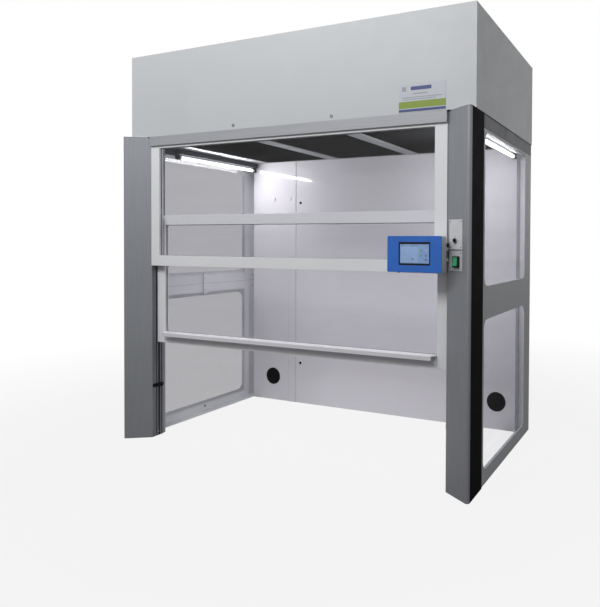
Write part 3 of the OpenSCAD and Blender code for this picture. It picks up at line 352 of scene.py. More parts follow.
def softenNode(node, width, materials, steps=2, flat=1.0):
    # A copy of a CAD node with its edges rounded over. The rounded faces take the second material; where
    # that is a lighter copy of the first it is a painted edge highlight, and where it is a darker copy it is
    # a painted edge shade.
    mesh = nodes[node].data.copy()
    giveMaterials(mesh, materials)
    shell = bmesh.new()
    shell.from_mesh(mesh)
    bmesh.ops.remove_doubles(shell, verts=shell.verts, dist=1e-5)
    bmesh.ops.dissolve_limit(shell, angle_limit=math.radians(flat), verts=shell.verts, edges=shell.edges)
    shell.to_mesh(mesh)
    shell.free()
    mesh = bevelMesh(mesh, width, steps, 1 if len(materials) > 1 else -1)
    return newPiece(node + "_dressed", mesh, node, materials, [node])


def softenNodes(rows):  # each row: a CAD node, how far its edges are rounded over, and its materials
    for node, width, *materials in rows:
        softenNode(node, width, materials)


def tintSmall(piece, limit):
    # Parts of the piece that are less tall than the limit take its second material. Gives their centres.
    centres, reached = [], set()
    shell = bmesh.new()
    shell.from_mesh(piece.data)
    for first in shell.faces:
        if first in reached:
            continue
        reached.add(first)
        island = [first]
        for face in island:  # the list grows as its faces' neighbours join it
            for other in [other for edge in face.edges for other in edge.link_faces]:
                if other not in reached:
                    reached.add(other)
                    island.append(other)
        points = [vert.co for face in island for vert in face.verts]
        heights = [point.z for point in points]
        small = max(heights) - min(heights) < limit
        if small:
            centres.append(sum(points, Vector()) / len(points))
        for face in island:
            face.material_index = 1 if small else 0
    shell.to_mesh(piece.data)
    shell.free()
    return centres


def profileBar(shell, profile, start, end, place):
    # Extrudes a closed profile of (u, v) points along an axis; place turns (u, v, w) into (x, y, z).
    rings = [[shell.verts.new(place(u, v, w)) for u, v in profile] for w in (start, end)]
    count = len(profile)
    for i in range(count):
        shell.faces.new([rings[0][i], rings[0][(i + 1) % count], rings[1][(i + 1) % count], rings[1][i]])
    shell.faces.new(rings[0][::-1])
    shell.faces.new(rings[1])


def addBlock(shell, low, high):
    made = bmesh.ops.create_cube(shell, size=1.0)
    centre = (Vector(low) + Vector(high)) / 2
    size = Vector(high) - Vector(low)
    bmesh.ops.scale(shell, vec=size, verts=made["verts"])
    bmesh.ops.translate(shell, vec=centre, verts=made["verts"])


def sideBlocks(name, inner, outer, low, high, edge):
    # A block on each side of the hood, from the inner to the outer x, with its edges rounded over.
    shell = bmesh.new()
    for side in (-1, 1):
        ends = sorted((side * inner, side * outer))
        addBlock(shell, (ends[0], *low), (ends[1], *high))
    return bevelMesh(meshOf(shell, name), edge)


def meshOf(shell, name):
    bmesh.ops.recalc_face_normals(shell, faces=shell.faces)
    mesh = bpy.data.meshes.new(name)
    shell.to_mesh(mesh)
    shell.free()
    return mesh


def latheMesh(name, profile, centre, axis, steps=48):
    # Turns a profile of (radius, height) points about an axis through the centre.
    shell = bmesh.new()
    rings = []
    for radius, height in profile:
        if radius < 1e-7:
            rings.append([shell.verts.new((0, 0, height))])
        else:
            rings.append([shell.verts.new((radius * math.cos(2 * math.pi * i / steps),
                radius * math.sin(2 * math.pi * i / steps), height)) for i in range(steps)])
    for low, high in zip(rings, rings[1:]):
        for i in range(steps):
            corners = [low[i % len(low)], low[(i + 1) % len(low)], high[(i + 1) % len(high)],
                high[i % len(high)]]
            shell.faces.new(list(dict.fromkeys(corners)))
    bmesh.ops.remove_doubles(shell, verts=shell.verts, dist=1e-6)
    bmesh.ops.holes_fill(shell, edges=[edge for edge in shell.edges if edge.is_boundary], sides=0)
    turn = Vector((0, 0, 1)).rotation_difference(Vector(axis)).to_matrix().to_4x4()
    shell.transform(Matrix.Translation(centre) @ turn)
    mesh = meshOf(shell, name)
    mesh.shade_smooth()
    mesh.set_sharp_from_angle(angle=math.radians(32))
    return mesh


def dress(node, material):
    for slot in nodes[node].material_slots:
        slot.material = material


# Trees of geometry nodes
def startTree(name, sockets):  # every tree also takes a material
    tree = bpy.data.node_groups.new(name, "GeometryNodeTree")
    for label, kind in {**sockets, "Material": "Material"}.items():
        tree.interface.new_socket(label, in_out="INPUT", socket_type="NodeSocket" + kind)
    tree.interface.new_socket("Geometry", in_out="OUTPUT", socket_type="NodeSocketGeometry")
    return tree, addNode(tree, "NodeGroupInput").outputs


def finishTree(tree, given, shape):  # the shape gets its material and leaves the tree
    finish = addNode(tree, "GeometryNodeSetMaterial", {}, {"Geometry": shape,
        "Material": given["Material"]})
    addNode(tree, "NodeGroupOutput", {}, {0: finish})
    return tree


def growPiece(name, tree, values, like, material, mesh=None, body=None):
    carrier = addObject(name, mesh or bpy.data.meshes.new(name))
    grow = carrier.modifiers.new("Grow", "NODES")
    grow.node_group = tree
    sockets = {item.name: item.identifier for item in tree.interface.items_tree if item.in_out == "INPUT"}
    for label, value in {**values, "Material": material}.items():
        grow[sockets[label]] = value
    return newPiece(name, bakeModifiers(carrier), like, [material], body=body)


def screwTree():  # one screw on every point, its head along the point's "facing" vector
    tree, given = startTree("screw rows", {"Geometry": "Geometry", "Screw": "Object",
        "Head Radius": "Float"})
    facing = addNode(tree, "GeometryNodeInputNamedAttribute",
        {"data_type": "FLOAT_VECTOR", "Name": "facing"})
    turn = addNode(tree, "FunctionNodeAlignRotationToVector", {"axis": "Z"}, {"Vector": facing})
    screw = addNode(tree, "GeometryNodeObjectInfo", {}, {"Object": given["Screw"]})
    spread = addNode(tree, "GeometryNodeInstanceOnPoints", {}, {"Points": given["Geometry"],
        "Instance": screw.outputs["Geometry"], "Rotation": turn, "Scale": given["Head Radius"]})
    real = addNode(tree, "GeometryNodeRealizeInstances", {}, {0: spread})
    return finishTree(tree, given, real)


def beadTree():  # a round bead along a rounded rectangle
    tree, given = startTree("glazing bead", {"Width": "Float", "Height": "Float",
        "Corner Radius": "Float", "Bead Radius": "Float", "Turn": "Rotation", "Centre": "Vector"})
    outline = addNode(tree, "GeometryNodeCurvePrimitiveQuadrilateral", {},
        {"Width": given["Width"], "Height": given["Height"]})
    rounded = addNode(tree, "GeometryNodeFilletCurve", {"mode": "POLY", "Count": 8},
        {"Curve": outline, "Radius": given["Corner Radius"]})
    section = addNode(tree, "GeometryNodeCurvePrimitiveCircle", {"Resolution": 8},
        {"Radius": given["Bead Radius"]})
    bead = addNode(tree, "GeometryNodeCurveToMesh", {}, {"Curve": rounded, "Profile Curve": section})
    placed = addNode(tree, "GeometryNodeTransform", {}, {"Geometry": bead, "Translation": given["Centre"],
        "Rotation": given["Turn"]})
    return finishTree(tree, given, placed)


def pleatTree():  # a sheet folded to and fro across its width
    tree, given = startTree("pleated pad", {"Width": "Float", "Length": "Float", "Folds": "Int",
        "Fold Pitch": "Float", "Fold Height": "Float", "Centre": "Vector"})
    double = addNode(tree, "ShaderNodeMath", {"operation": "MULTIPLY_ADD", 1: 2.0, 2: 1.0},
        {0: given["Folds"]})
    sheet = addNode(tree, "GeometryNodeMeshGrid", {"Vertices Y": 2},
        {"Size X": given["Width"], "Size Y": given["Length"],
        "Vertices X": double})
    where = addNode(tree, "ShaderNodeSeparateXYZ", {}, {0: addNode(tree, "GeometryNodeInputPosition")})
    half = addNode(tree, "ShaderNodeMath", {"operation": "MULTIPLY", 1: 0.5}, {0: given["Width"]})
    shifted = addNode(tree, "ShaderNodeMath", {"operation": "ADD"}, {0: where.outputs["X"], 1: half})
    count = addNode(tree, "ShaderNodeMath", {"operation": "DIVIDE"}, {0: shifted, 1: given["Fold Pitch"]})
    fold = addNode(tree, "ShaderNodeMath", {"operation": "PINGPONG", 1: 0.5}, {0: count})
    lift = addNode(tree, "ShaderNodeMath", {"operation": "MULTIPLY"}, {0: fold, 1: given["Fold Height"]})
    doubled = addNode(tree, "ShaderNodeMath", {"operation": "MULTIPLY", 1: 2.0}, {0: lift})
    rise = addNode(tree, "ShaderNodeCombineXYZ", {}, {"Z": doubled})
    folded = addNode(tree, "GeometryNodeSetPosition", {}, {"Geometry": sheet, "Offset": rise})
    placed = addNode(tree, "GeometryNodeTransform", {}, {"Geometry": folded,
        "Translation": given["Centre"]})
    return finishTree(tree, given, placed)


def pileTree():  # tufts of brush pile along an upright line
    tree, given = startTree("brush pile", {"Count": "Int", "Start": "Vector", "Step": "Vector",
        "Tuft Radius": "Float", "Tuft Length": "Float", "Turn": "Rotation", "Seed": "Int"})
    line = addNode(tree, "GeometryNodeMeshLine", {}, {"Count": given["Count"],
        "Start Location": given["Start"],
        "Offset": given["Step"]})
    tuft = addNode(tree, "GeometryNodeMeshCone", {"Vertices": 6}, {"Radius Bottom": given["Tuft Radius"],
        "Depth": given["Tuft Length"]})
    lean = addNode(tree, "FunctionNodeRandomValue", {"data_type": "FLOAT_VECTOR", 0: (-0.25, -0.25, 0),
        1: (0.25, 0.25, 3.1)},
        {"Seed": given["Seed"]})
    turned = addNode(tree, "FunctionNodeRotateRotation", {"rotation_space": "LOCAL"},
        {"Rotation": given["Turn"], "Rotate By": lean})
    spread = addNode(tree, "GeometryNodeInstanceOnPoints", {}, {"Points": line, "Instance": tuft,
        "Rotation": turned})
    real = addNode(tree, "GeometryNodeRealizeInstances", {}, {0: spread})
    return finishTree(tree, given, real)


screwRows, glazingBead, pleatedPad, brushPile = screwTree(), beadTree(), pleatTree(), pileTree()
print("trees ready")


# Screws
def screwHead(rise=0.5, socket=0.42):
    # Pan head of unit radius with a hexagon socket, standing on z = 0.
    shell = bmesh.new()
    rings = []
    for radius, height, hexagon in ((1, 0, 0), (1, rise * 0.35, 0), (0.88, rise * 0.8, 0), (0.66, rise, 0),
                                    (socket, rise, 1), (socket * 0.94, rise * 0.3, 1)):
        ring = []
        for i in range(12):
            reach = radius * (math.cos(math.radians(30)) if hexagon and i % 2 else 1)
            angle = math.radians(30 * i)
            ring.append(shell.verts.new((reach * math.cos(angle), reach * math.sin(angle), height)))
        rings.append(ring)
    for low, high in zip(rings, rings[1:]):
        for i in range(12):
            shell.faces.new([low[i], low[(i + 1) % 12], high[(i + 1) % 12], high[i]])
    shell.faces.new(rings[0][::-1])
    shell.faces.new(rings[-1])
    return addObject("screwPattern", meshOf(shell, "screwPattern"))


def screwsAt(name, places, facing, radius, material=steelScrew, body="hood"):
    mesh = bpy.data.meshes.new(name)
    mesh.from_pydata([Vector(p) for p in places], [], [])
    towards = mesh.attributes.new("facing", "FLOAT_VECTOR", "POINT")
    for item in towards.data:
        item.vector = facing
    return growPiece(name, screwRows, {"Screw": screwPattern, "Head Radius": radius}, "panel_screws",
        material, mesh, body)


def spaced(first, last, count):
    return [first + (last - first) * i / (count - 1) for i in range(count)]


screwPattern = screwHead()

# Head
head = {"edge": 0.0009, "roofScrewCount": 9, "roofScrewInset": 0.018, "screwRadius": 0.0048}
shellLow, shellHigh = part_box("housing_shell")
softenNodes([
    ("housing_shell", head["edge"], headCoat, headEdgeHighlight),
    ("front_panel", head["edge"], headCoat, headEdgeHighlight),
    ("front_beam", 0.001, beamCoat),
    ("side_beams", 0.0015, beamCoat),
    ("lintel", 0.0006, lintelAluminium, postEdgeShading),
    ("panel_screws", 0.0004, steelScrew)])
# A plastic plug closes the rear end of each side beam
beamPlug = {"wall": 0.0031, "depth": 0.012, "sunk": 0.0006, "edge": 0.0008}
beamLow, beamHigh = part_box("side_beams")
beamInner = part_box("ceiling_frame")[1].x
plugRear, wall = beamHigh.y - beamPlug["sunk"], beamPlug["wall"]
newPiece("beamPlugs", sideBlocks("beamPlugs", beamInner + wall, beamHigh.x - wall,
    (plugRear - beamPlug["depth"], beamLow.z + wall), (plugRear, beamHigh.z - wall), beamPlug["edge"]),
    "sash_stops", [blackAbs])
inset = head["roofScrewInset"]
screwsAt("roofScrews", [(x, y, shellHigh.z - sunk) for y in (shellLow.y + inset, shellHigh.y - inset)
    for x in spaced(shellLow.x + inset, shellHigh.x - inset, head["roofScrewCount"])],
    (0, 0, 1), head["screwRadius"])
print("head done")

# Front posts
posts = {"edge": 0.0008}
for node in ("post_left", "post_right"):
    softenNode(node, posts["edge"], [postAluminium, postEdgeShading])
softenNodes([
    ("post_caps", 0.0006, postAluminium, postEdgeShading),
    ("post_covers", 0.0008, coverBlack),
    ("sash_stops", 0.0008, rubberBlack),
    ("sash_tracks", 0.0004, trackAluminium)])

stopLow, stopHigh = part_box("sash_stops")
stopScrew = {"radius": 0.0032, "spread": 0.009, "reach": 0.0078}
spread = stopScrew["spread"]
stopMiddle = stopHigh.y - 2 * spread
for side in (-1, 1):
    inner = side * (stopHigh.x - stopScrew["reach"])
    screwsAt("stopScrews_" + sideName[side],
        [(inner, stopMiddle + step, (stopLow.z + stopHigh.z) / 2) for step in (-spread, spread)],
        (-side, 0, 0), stopScrew["radius"], blackAbs)

# A rubber plug closes the foot of each track's slot
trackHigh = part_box("sash_tracks")[1]
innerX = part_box("lintel")[1].x
slotY = sum(corner.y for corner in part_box("sash_cables")) / 2
slotPlug = {"halfWidth": 0.0049, "height": 0.014, "sunk": 0.0006, "edge": 0.0005}
newPiece("slotPlugs", sideBlocks("slotPlugs", innerX + slotPlug["sunk"], trackHigh.x,
    (slotY - slotPlug["halfWidth"], 0), (slotY + slotPlug["halfWidth"], slotPlug["height"]),
    slotPlug["edge"]), "sash_stops", [rubberBlack])

# Brush pile fills the tracks' two grooves and seals against the sash.
pile = {"pitch": 0.0032, "tuftRadius": 0.0016, "tuftLength": 0.0042, "grooveDepth": 0.0025,
    "rooted": 0.0003, "endGap": 0.01, "before": 0.003, "behind": 0.002}
sashLow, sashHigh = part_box("sash_frame")
grooves = (sashLow.y - pile["before"], sashHigh.y + pile["behind"])
for number, (side, depth) in enumerate([(side, depth) for side in (-1, 1) for depth in grooves]):
    growPiece(f"trackPile_{number}", brushPile, {
        "Count": int((trackHigh.z - 2 * pile["endGap"]) / pile["pitch"]),
        "Start": (side * (innerX + pile["grooveDepth"] - pile["rooted"]), depth, pile["endGap"]),
        "Step": (0, 0, pile["pitch"]),
        "Tuft Radius": pile["tuftRadius"], "Tuft Length": pile["tuftLength"],
        "Turn": (0, -side * math.pi / 2, 0),
        "Seed": number}, "sash_tracks", rubberBlack)
print("posts done")

# Side panels: their inner and front faces take a whiter coat than the outer faces; on the front faces this
# is painted light
smallPart = 0.016  # caps and clip screws are less tall than this
facingLimit = -0.9
for node in ("side_panel_left", "side_panel_right"):
    panel = softenNode(node, 0.0006, [headCoat, headEdgeHighlight, whiteCoatAndPaintedLight])
    outward = 1 if node.endswith("right") else -1
    # Inner faces, and front faces as painted light, take the whiter coat.
    for polygon in panel.data.polygons:
        if polygon.normal.x * outward < facingLimit or polygon.normal.y < facingLimit:
            polygon.material_index = 2
tintSmall(softenNode("pane_clips", 0.0007, [whiteCoatAndPaintedLight, steelScrew]), smallPart)
dress("side_windows", clearGlass)

panes = {"bead": 0.0016, "rear": 0.1, "front": 0.11, "lowerZ": 0.05, "lowerH": 0.542, "upperZ": 0.708,
    "upperH": 0.552, "cornerRadius": 0.036, "beadOut": 0.0006, "seam": 0.0006, "seamOut": 0.0003,
    "seamEnd": 0.002, "screwIn": 0.017, "screwRise": 0.03, "screwRadius": 0.004}
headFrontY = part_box("front_panel")[0].y
headBackY = shellHigh.y
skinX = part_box("side_windows")[1].x
windowStart, windowEnd = headFrontY + panes["front"], headBackY - panes["rear"]
for side in (-1, 1):
    for row in ("lower", "upper"):
        low, tall = panes[row + "Z"], panes[row + "H"]
        growPiece(f"windowBead_{row}_{sideName[side]}", glazingBead, {
            "Width": windowEnd - windowStart - panes["bead"], "Height": tall - panes["bead"],
            "Corner Radius": panes["cornerRadius"], "Bead Radius": panes["bead"],
            "Turn": (math.pi / 2, 0, math.pi / 2),
            "Centre": (side * (skinX + panes["beadOut"]), (windowStart + windowEnd) / 2, low + tall / 2)},
            "filter_seals", siliconeClear)
    # The side is two sheets that meet between the windows; screws hold them to the rear corner.
    seam, meeting = panes["seam"], (panes["lowerZ"] + panes["lowerH"] + panes["upperZ"]) / 2
    shell = bmesh.new()
    addBlock(shell, (side * skinX - panes["seamOut"], trackHigh.y, meeting - seam),
        (side * skinX + panes["seamOut"], headBackY - panes["seamEnd"], meeting + seam))
    newPiece(f"sheetSeam_{sideName[side]}", meshOf(shell, "seam"), "filter_seals", [siliconeGrey])
    screwsAt(f"cornerScrews_{sideName[side]}", [(side * skinX, headBackY - panes["screwIn"], meeting + rise)
        for rise in (-panes["screwRise"], panes["screwRise"])], (-side, 0, 0), panes["screwRadius"])
print("side panels done")

# Back wall
softenNode("back_panel", 0.0005, [headCoat, headEdgeHighlight])
for node in ("liner_left", "liner_main", "liner_strip"):
    softenNode(node, 0.0006, [linerLaminate])
plugs = softenNode("liner_plugs", 0.0008, [linerLaminate, capBlack])
caps = {"flange": 0.0075, "thickness": 0.0008, "bevel": 0.0006}
for number, centre in enumerate(tintSmall(plugs, smallPart)):
    newPiece(f"capFlange_{number}", latheMesh("capFlange", [(0, -sunk), (caps["flange"], -sunk),
        (caps["flange"] - caps["bevel"], caps["thickness"]), (0, caps["thickness"])],
        (centre.x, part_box("liner_main")[0].y, centre.z), (0, -1, 0), 32), "liner_plugs", [capBlack])

# Sealant beads along both edges of the joint strip
joint = {"beadRadius": 0.0013, "endGap": 0.001}
stripLow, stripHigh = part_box("liner_strip")
beadLength = stripHigh.z - 2 * joint["endGap"]
for number, x in enumerate((stripLow.x, stripHigh.x)):
    newPiece(f"stripBead_{number}", latheMesh("stripBead", [(0, 0), (joint["beadRadius"], 0),
        (joint["beadRadius"], beadLength), (0, beadLength)],
        (x, stripHigh.y - sunk, joint["endGap"]), (0, 0, 1), 8),
        "filter_seals", [siliconeGrey])
backScrews = {"columns": 7, "rows": 6, "inset": 0.02, "radius": 0.0045}
backLow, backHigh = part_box("back_panel")
inset = backScrews["inset"]
columns = spaced(backLow.x + inset, backHigh.x - inset, backScrews["columns"])
rows = spaced(backLow.z + inset, backHigh.z - inset, backScrews["rows"])
places = [(x, backHigh.y - sunk, z) for x in columns for z in (rows[0], rows[-1])]
places += [(x, backHigh.y - sunk, z) for z in rows[1:-1] for x in (columns[0], columns[-1])]
screwsAt("backScrews", places, (0, 1, 0), backScrews["radius"])

# Cable ports: blind rubber grommets with raised rings, where a hole is cut for a hose.
port = {"ringRadii": (0.026, 0.019, 0.012), "ringHeight": 0.0009, "ringWidth": 0.0016, "recess": 0.001}
dress("cable_ports", rubberBlack)
portLow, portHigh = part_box("cable_ports")
portRadius = (portHigh.z - portLow.z) / 2
for side, x in (("left", portLow.x + portRadius), ("right", portHigh.x - portRadius)):
    for number, radius in enumerate(port["ringRadii"]):
        half, tall = port["ringWidth"] / 2, port["ringHeight"]
        newPiece(f"portRing_{side}_{number}", latheMesh("portRing", [(radius - half, -sunk),
            (radius - half * 0.6, tall), (radius + half * 0.6, tall), (radius + half, -sunk),
            (radius - half, -sunk)],
            (x, portLow.y + port["recess"], (portLow.z + portHigh.z) / 2), (0, -1, 0)),
            "cable_ports", [rubberBlack])
softenNode("power_inlet", 0.0008, [blackAbs])
print("back wall done")

# Ceiling, filters and lamps
softenNode("ceiling_frame", 0.0005, [ceilingCoat])
dress("filter_seals", rubberBlack)
softenNode("carbon_filters", 0.001, [filterCase])
padLow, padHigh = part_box("prefilters")
pads = {"count": 3, "pitch": 0.012, "rim": 0.012, "foldHeight": 0.015, "thickness": 0.0016,
    "opening": 0.384, "overlap": 0.01, "lift": 0.0015, "edge": 0.0008}
width, rim = pads["opening"] + pads["overlap"], pads["rim"]
span = width - 2 * rim
folds = int(span / pads["pitch"])
padPitch = (padHigh.x - padLow.x - width) / (pads["count"] - 1)
for number in range(pads["count"]):
    middle = (padLow.x + padHigh.x) / 2 + (number - 1) * padPitch
    shell = bmesh.new()
    left, right, front, back = -width / 2, width / 2, padLow.y, padHigh.y
    for low, high in (((left, front), (right, front + rim)), ((left, back - rim), (right, back)),
                      ((left, front + rim), (left + rim, back - rim)),
                      ((right - rim, front + rim), (right, back - rim))):
        addBlock(shell, (middle + low[0], low[1], padLow.z), (middle + high[0], high[1], padHigh.z))
    newPiece(f"padRim_{number}", bevelMesh(meshOf(shell, "rim"), pads["edge"], 1), "prefilters", [blackAbs],
        ["prefilters"] if number == 0 else [])
    pleats = growPiece(f"padPleats_{number}", pleatedPad, {"Width": span,
        "Length": back - front - 2 * rim, "Folds": folds, "Fold Pitch": span / folds,
        "Fold Height": pads["foldHeight"],
        "Centre": (middle, (front + back) / 2, padLow.z + pads["lift"])}, "prefilters", fleece)
    pleats.modifiers.new("Thickness", "SOLIDIFY").thickness = pads["thickness"]

tubeLow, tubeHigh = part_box("lamp_tubes")
softenNode("lamp_bodies", 0.0015, [lampCoat])
dress("lamp_tubes", tubeGlow)
tubeRadius = (tubeHigh.z - tubeLow.z) / 2
tubeX = tubeHigh.x - tubeRadius
tubeCap = {"over": 0.0006, "length": 0.0135, "edge": 0.0015, "edgeOver": 0.0002, "wall": 0.002,
    "behind": 0.0005}
tubeInner = tubeRadius - tubeCap["wall"]
capProfile = [(tubeRadius + tubeCap["over"], -tubeCap["behind"]),
    (tubeRadius + tubeCap["over"], tubeCap["length"] - tubeCap["edge"]),
    (tubeRadius + tubeCap["edgeOver"], tubeCap["length"]), (tubeInner, tubeCap["length"]),
    (tubeInner, -tubeCap["behind"])]
for side in (-1, 1):
    for number, (y, way) in enumerate(((tubeLow.y, 1), (tubeHigh.y, -1))):
        newPiece(f"tubeCap_{sideName[side]}_{number}",
            latheMesh("tubeCap", capProfile, (side * tubeX, y, tubeLow.z + tubeRadius), (0, way, 0)),
            "lamp_bodies", [turnedSteel])
print("ceiling done")

# Fans above the filters
softenNodes([
    ("blower_deck", 0.0006, zincSteel),
    ("fan_mounts", 0.0012, motorEnamel),
    ("impeller_left", 0.0006, fanPlastic),
    ("impeller_right", 0.0006, fanPlastic),
    ("exhaust_grilles", 0.0006, blackAbs),
    ("control_box", 0.002, motorEnamel)])
print("fans done")

# Fixed window and sash
frames = {"depth": 0.022, "grooveWidth": 0.0054, "grooveDepth": 0.008, "edge": 0.0009, "bead": 0.0014,
    "beadCorner": 0.002, "paneThickness": 0.005}


def glazedFrame(name, node, stile, low, high):
    # Two full-height stiles with butted rails between them, each grooved for the pane.
    start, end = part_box(node)
    deep, groove, into = frames["depth"], frames["grooveWidth"], frames["grooveDepth"]

    def section(width):
        return [(0, 0), (width, 0), (width, (deep - groove) / 2), (width - into, (deep - groove) / 2),
                (width - into, (deep + groove) / 2), (width, (deep + groove) / 2), (width, deep), (0, deep)]

    bars = {"stileLeft": (stile, start.z, end.z, lambda u, v, w: (start.x + u, start.y + v, w)),
            "stileRight": (stile, start.z, end.z, lambda u, v, w: (end.x - u, start.y + v, w)),
            "railLow": (low, start.x + stile, end.x - stile, lambda u, v, w: (w, start.y + v, start.z + u)),
            "railHigh": (high, start.x + stile, end.x - stile, lambda u, v, w: (w, start.y + v, end.z - u))}
    for number, (bar, (width, first, last, place)) in enumerate(bars.items()):
        shell = bmesh.new()
        profileBar(shell, section(width), first, last, place)
        mesh = meshOf(shell, bar)
        giveMaterials(mesh, [windowCoat, windowEdgeShading])
        newPiece(f"{name}_{bar}", bevelMesh(mesh, frames["edge"], 2, 1), node,
            [windowCoat, windowEdgeShading], [node] if number == 0 else [])
    for face, y in (("front", start.y + (deep - frames["paneThickness"]) / 2),
                    ("rear", start.y + (deep + frames["paneThickness"]) / 2)):
        growPiece(f"{name}_bead_{face}", glazingBead,
            {"Width": end.x - start.x - 2 * stile - frames["bead"],
            "Height": end.z - start.z - low - high - frames["bead"], "Corner Radius": frames["beadCorner"],
            "Bead Radius": frames["bead"], "Turn": (math.pi / 2, 0, 0),
            "Centre": (0, y, (start.z + low + end.z - high) / 2)},
            "filter_seals", siliconeGrey, body=bodyOf[node])


# Widths of the stiles, the low rail and the high rail
barWidths = {"fixedWindow": ("window_frame", 0.047, 0.044, 0.05),
    "sash": ("sash_frame", 0.044, 0.049, 0.042)}
for name, (node, stile, low, high) in barWidths.items():
    glazedFrame(name, node, stile, low, high)
dress("window_glass", clearGlass)
dress("sash_glass", clearGlass)
softenNode("sash_handle", 0.0012, [lipCoat])
print("windows done")

# Counterbalance inside the posts
softenNodes([
    ("counterweight_left", 0.003, weightIron),
    ("counterweight_right", 0.003, weightIron),
    ("pulley_left", 0.0004, turnedSteel),
    ("pulley_right", 0.0004, turnedSteel),
    ("pulley_brackets", 0.0008, beamCoat)])
dress("sash_cables", wireRope)

# The lower shoe's arm has a bore that the cable runs through
bore = {"radius": 0.0024, "cableRadius": 0.0015, "sides": 32, "below": 0.01, "above": 0.06}
shoes = softenNode("sash_shoes", 0.0012, [nylonWhite])
cableHigh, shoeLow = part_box("sash_cables")[1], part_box("sash_shoes")[0]
runX = sum(corner.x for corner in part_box("pulley_right")) - (cableHigh.x - bore["cableRadius"])
shell = bmesh.new()
for side in (-1, 1):
    made = bmesh.ops.create_cone(shell, cap_ends=True, segments=bore["sides"], radius1=bore["radius"],
        radius2=bore["radius"], depth=bore["below"] + bore["above"])
    bmesh.ops.translate(shell, verts=made["verts"],
        vec=(side * runX, slotY, shoeLow.z + (bore["above"] - bore["below"]) / 2))
shoes.data = cutMesh(shoes.data, meshOf(shell, "bores"))

# Display
display = {"edge": 0.0011, "depth": 0.045, "screwRadius": 0.0032, "screwInset": 0.012, "nubRadius": 0.003,
    "nubTip": 0.0022, "nubDrop": 0.004, "nubInset": 0.034, "nubChamfer": 0.0002, "nubTaper": 0.001,
    "nubRoot": 0.0005}
field = {"thickness": 0.0003, "sunk": 0.0001, "cardCorner": 0.0004}
softenNodes([
    ("display_housing", display["edge"], displayAbs, displayEdgeHighlight),
    ("display_fascia", 0.0008, fasciaBlue),
    ("display_bezel", 0.0006, blackAbs),
    ("display_bracket", 0.0006, hingeGrey),
    ("display_knob", 0.0004, blackAbs)])
dress("display_screen", screenGlass)

# Each field: left, bottom, right and top as shares of the screen, its material, and how far its corners
# are rounded.
screenFields = [(0.03, 0.05, 0.63, 0.86, screenPale, 0.0015), (0.36, 0.9, 0.64, 0.945, screenDeep, 0.0006),
    (0.05, 0.9, 0.12, 0.945, screenDeep, 0.0006), (0.4, 0.17, 0.47, 0.27, screenDeep, 0.0032),
    (0.68, 0.6, 0.78, 0.74, screenGreen, 0.0045), (0.85, 0.6, 0.95, 0.74, screenPale, 0.0045),
    (0.69, 0.35, 0.77, 0.46, screenGreen, 0.0036), (0.86, 0.35, 0.94, 0.46, screenDeep, 0.0036),
    (0.69, 0.14, 0.77, 0.25, screenPale, 0.0036), (0.85, 0.13, 0.94, 0.26, screenDeep, 0.004)]


def plateMesh(name, low, high, y, thickness, corner):
    # A thin upright plate with rounded corners, facing -Y.
    shell = bmesh.new()
    outline = []
    for cx, cz, turn in ((high[0] - corner, high[1] - corner, 0), (low[0] + corner, high[1] - corner, 90),
                         (low[0] + corner, low[1] + corner, 180), (high[0] - corner, low[1] + corner, 270)):
        for step in range(4):
            angle = math.radians(turn + 30 * step)
            outline.append((cx + corner * math.cos(angle), cz + corner * math.sin(angle)))
    profileBar(shell, outline, y, y - thickness, lambda u, v, w: (u, w, v))
    return meshOf(shell, name)


def addFields(name, node, fields, doubled=None):
    # The doubled field lies over another, so it is twice as thick.
    low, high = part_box(node)
    wide, tall = high.x - low.x, high.z - low.z
    for number, (left, bottom, right, top, material, corner) in enumerate(fields):
        newPiece(f"{name}_{number}", plateMesh("field", (low.x + left * wide, low.z + bottom * tall),
            (low.x + right * wide, low.z + top * tall), low.y + field["sunk"],
            field["thickness"] * (2 if number == doubled else 1), corner), node, [material])


addFields("screenField", "display_screen", screenFields, 3)

caseLow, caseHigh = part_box("display_fascia")
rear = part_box("display_bezel")[0].y + display["depth"]
inset = display["screwInset"]
screwsAt("displayScrews", [(x, rear - sunk, z) for x in (caseLow.x + inset, caseHigh.x - 3 * inset)
    for z in (caseLow.z + inset, caseHigh.z - inset)], (0, 1, 0), display["screwRadius"], body="display")
nubDrop, nubRadius, nubRoot = display["nubDrop"], display["nubRadius"], display["nubRoot"]
newPiece("displayNub", latheMesh("nub", [(0, -nubDrop), (display["nubTip"], display["nubChamfer"] - nubDrop),
    (nubRadius, display["nubTaper"] - nubDrop), (nubRadius, nubRoot), (0, nubRoot)],
    (caseLow.x + display["nubInset"], (caseLow.y + rear) / 2, caseLow.z), (0, 0, 1), 24),
    "display_knob", [blackAbs], body="display")
print("display done")

# Switch plates on the right post's splayed face
face = {"splay": 0.067, "width": 0.106, "innerDepth": 0.011}
faceAngle = math.atan2(face["splay"], face["width"])
faceAlong = Vector((math.cos(faceAngle), -math.sin(faceAngle), 0))
faceOut = Vector((-math.sin(faceAngle), -math.cos(faceAngle), 0))
faceStart = Vector((innerX, headFrontY + face["innerDepth"], 0))


def onFace(along, out, z):
    return faceStart + faceAlong * along + faceOut * out + Vector((0, 0, z))


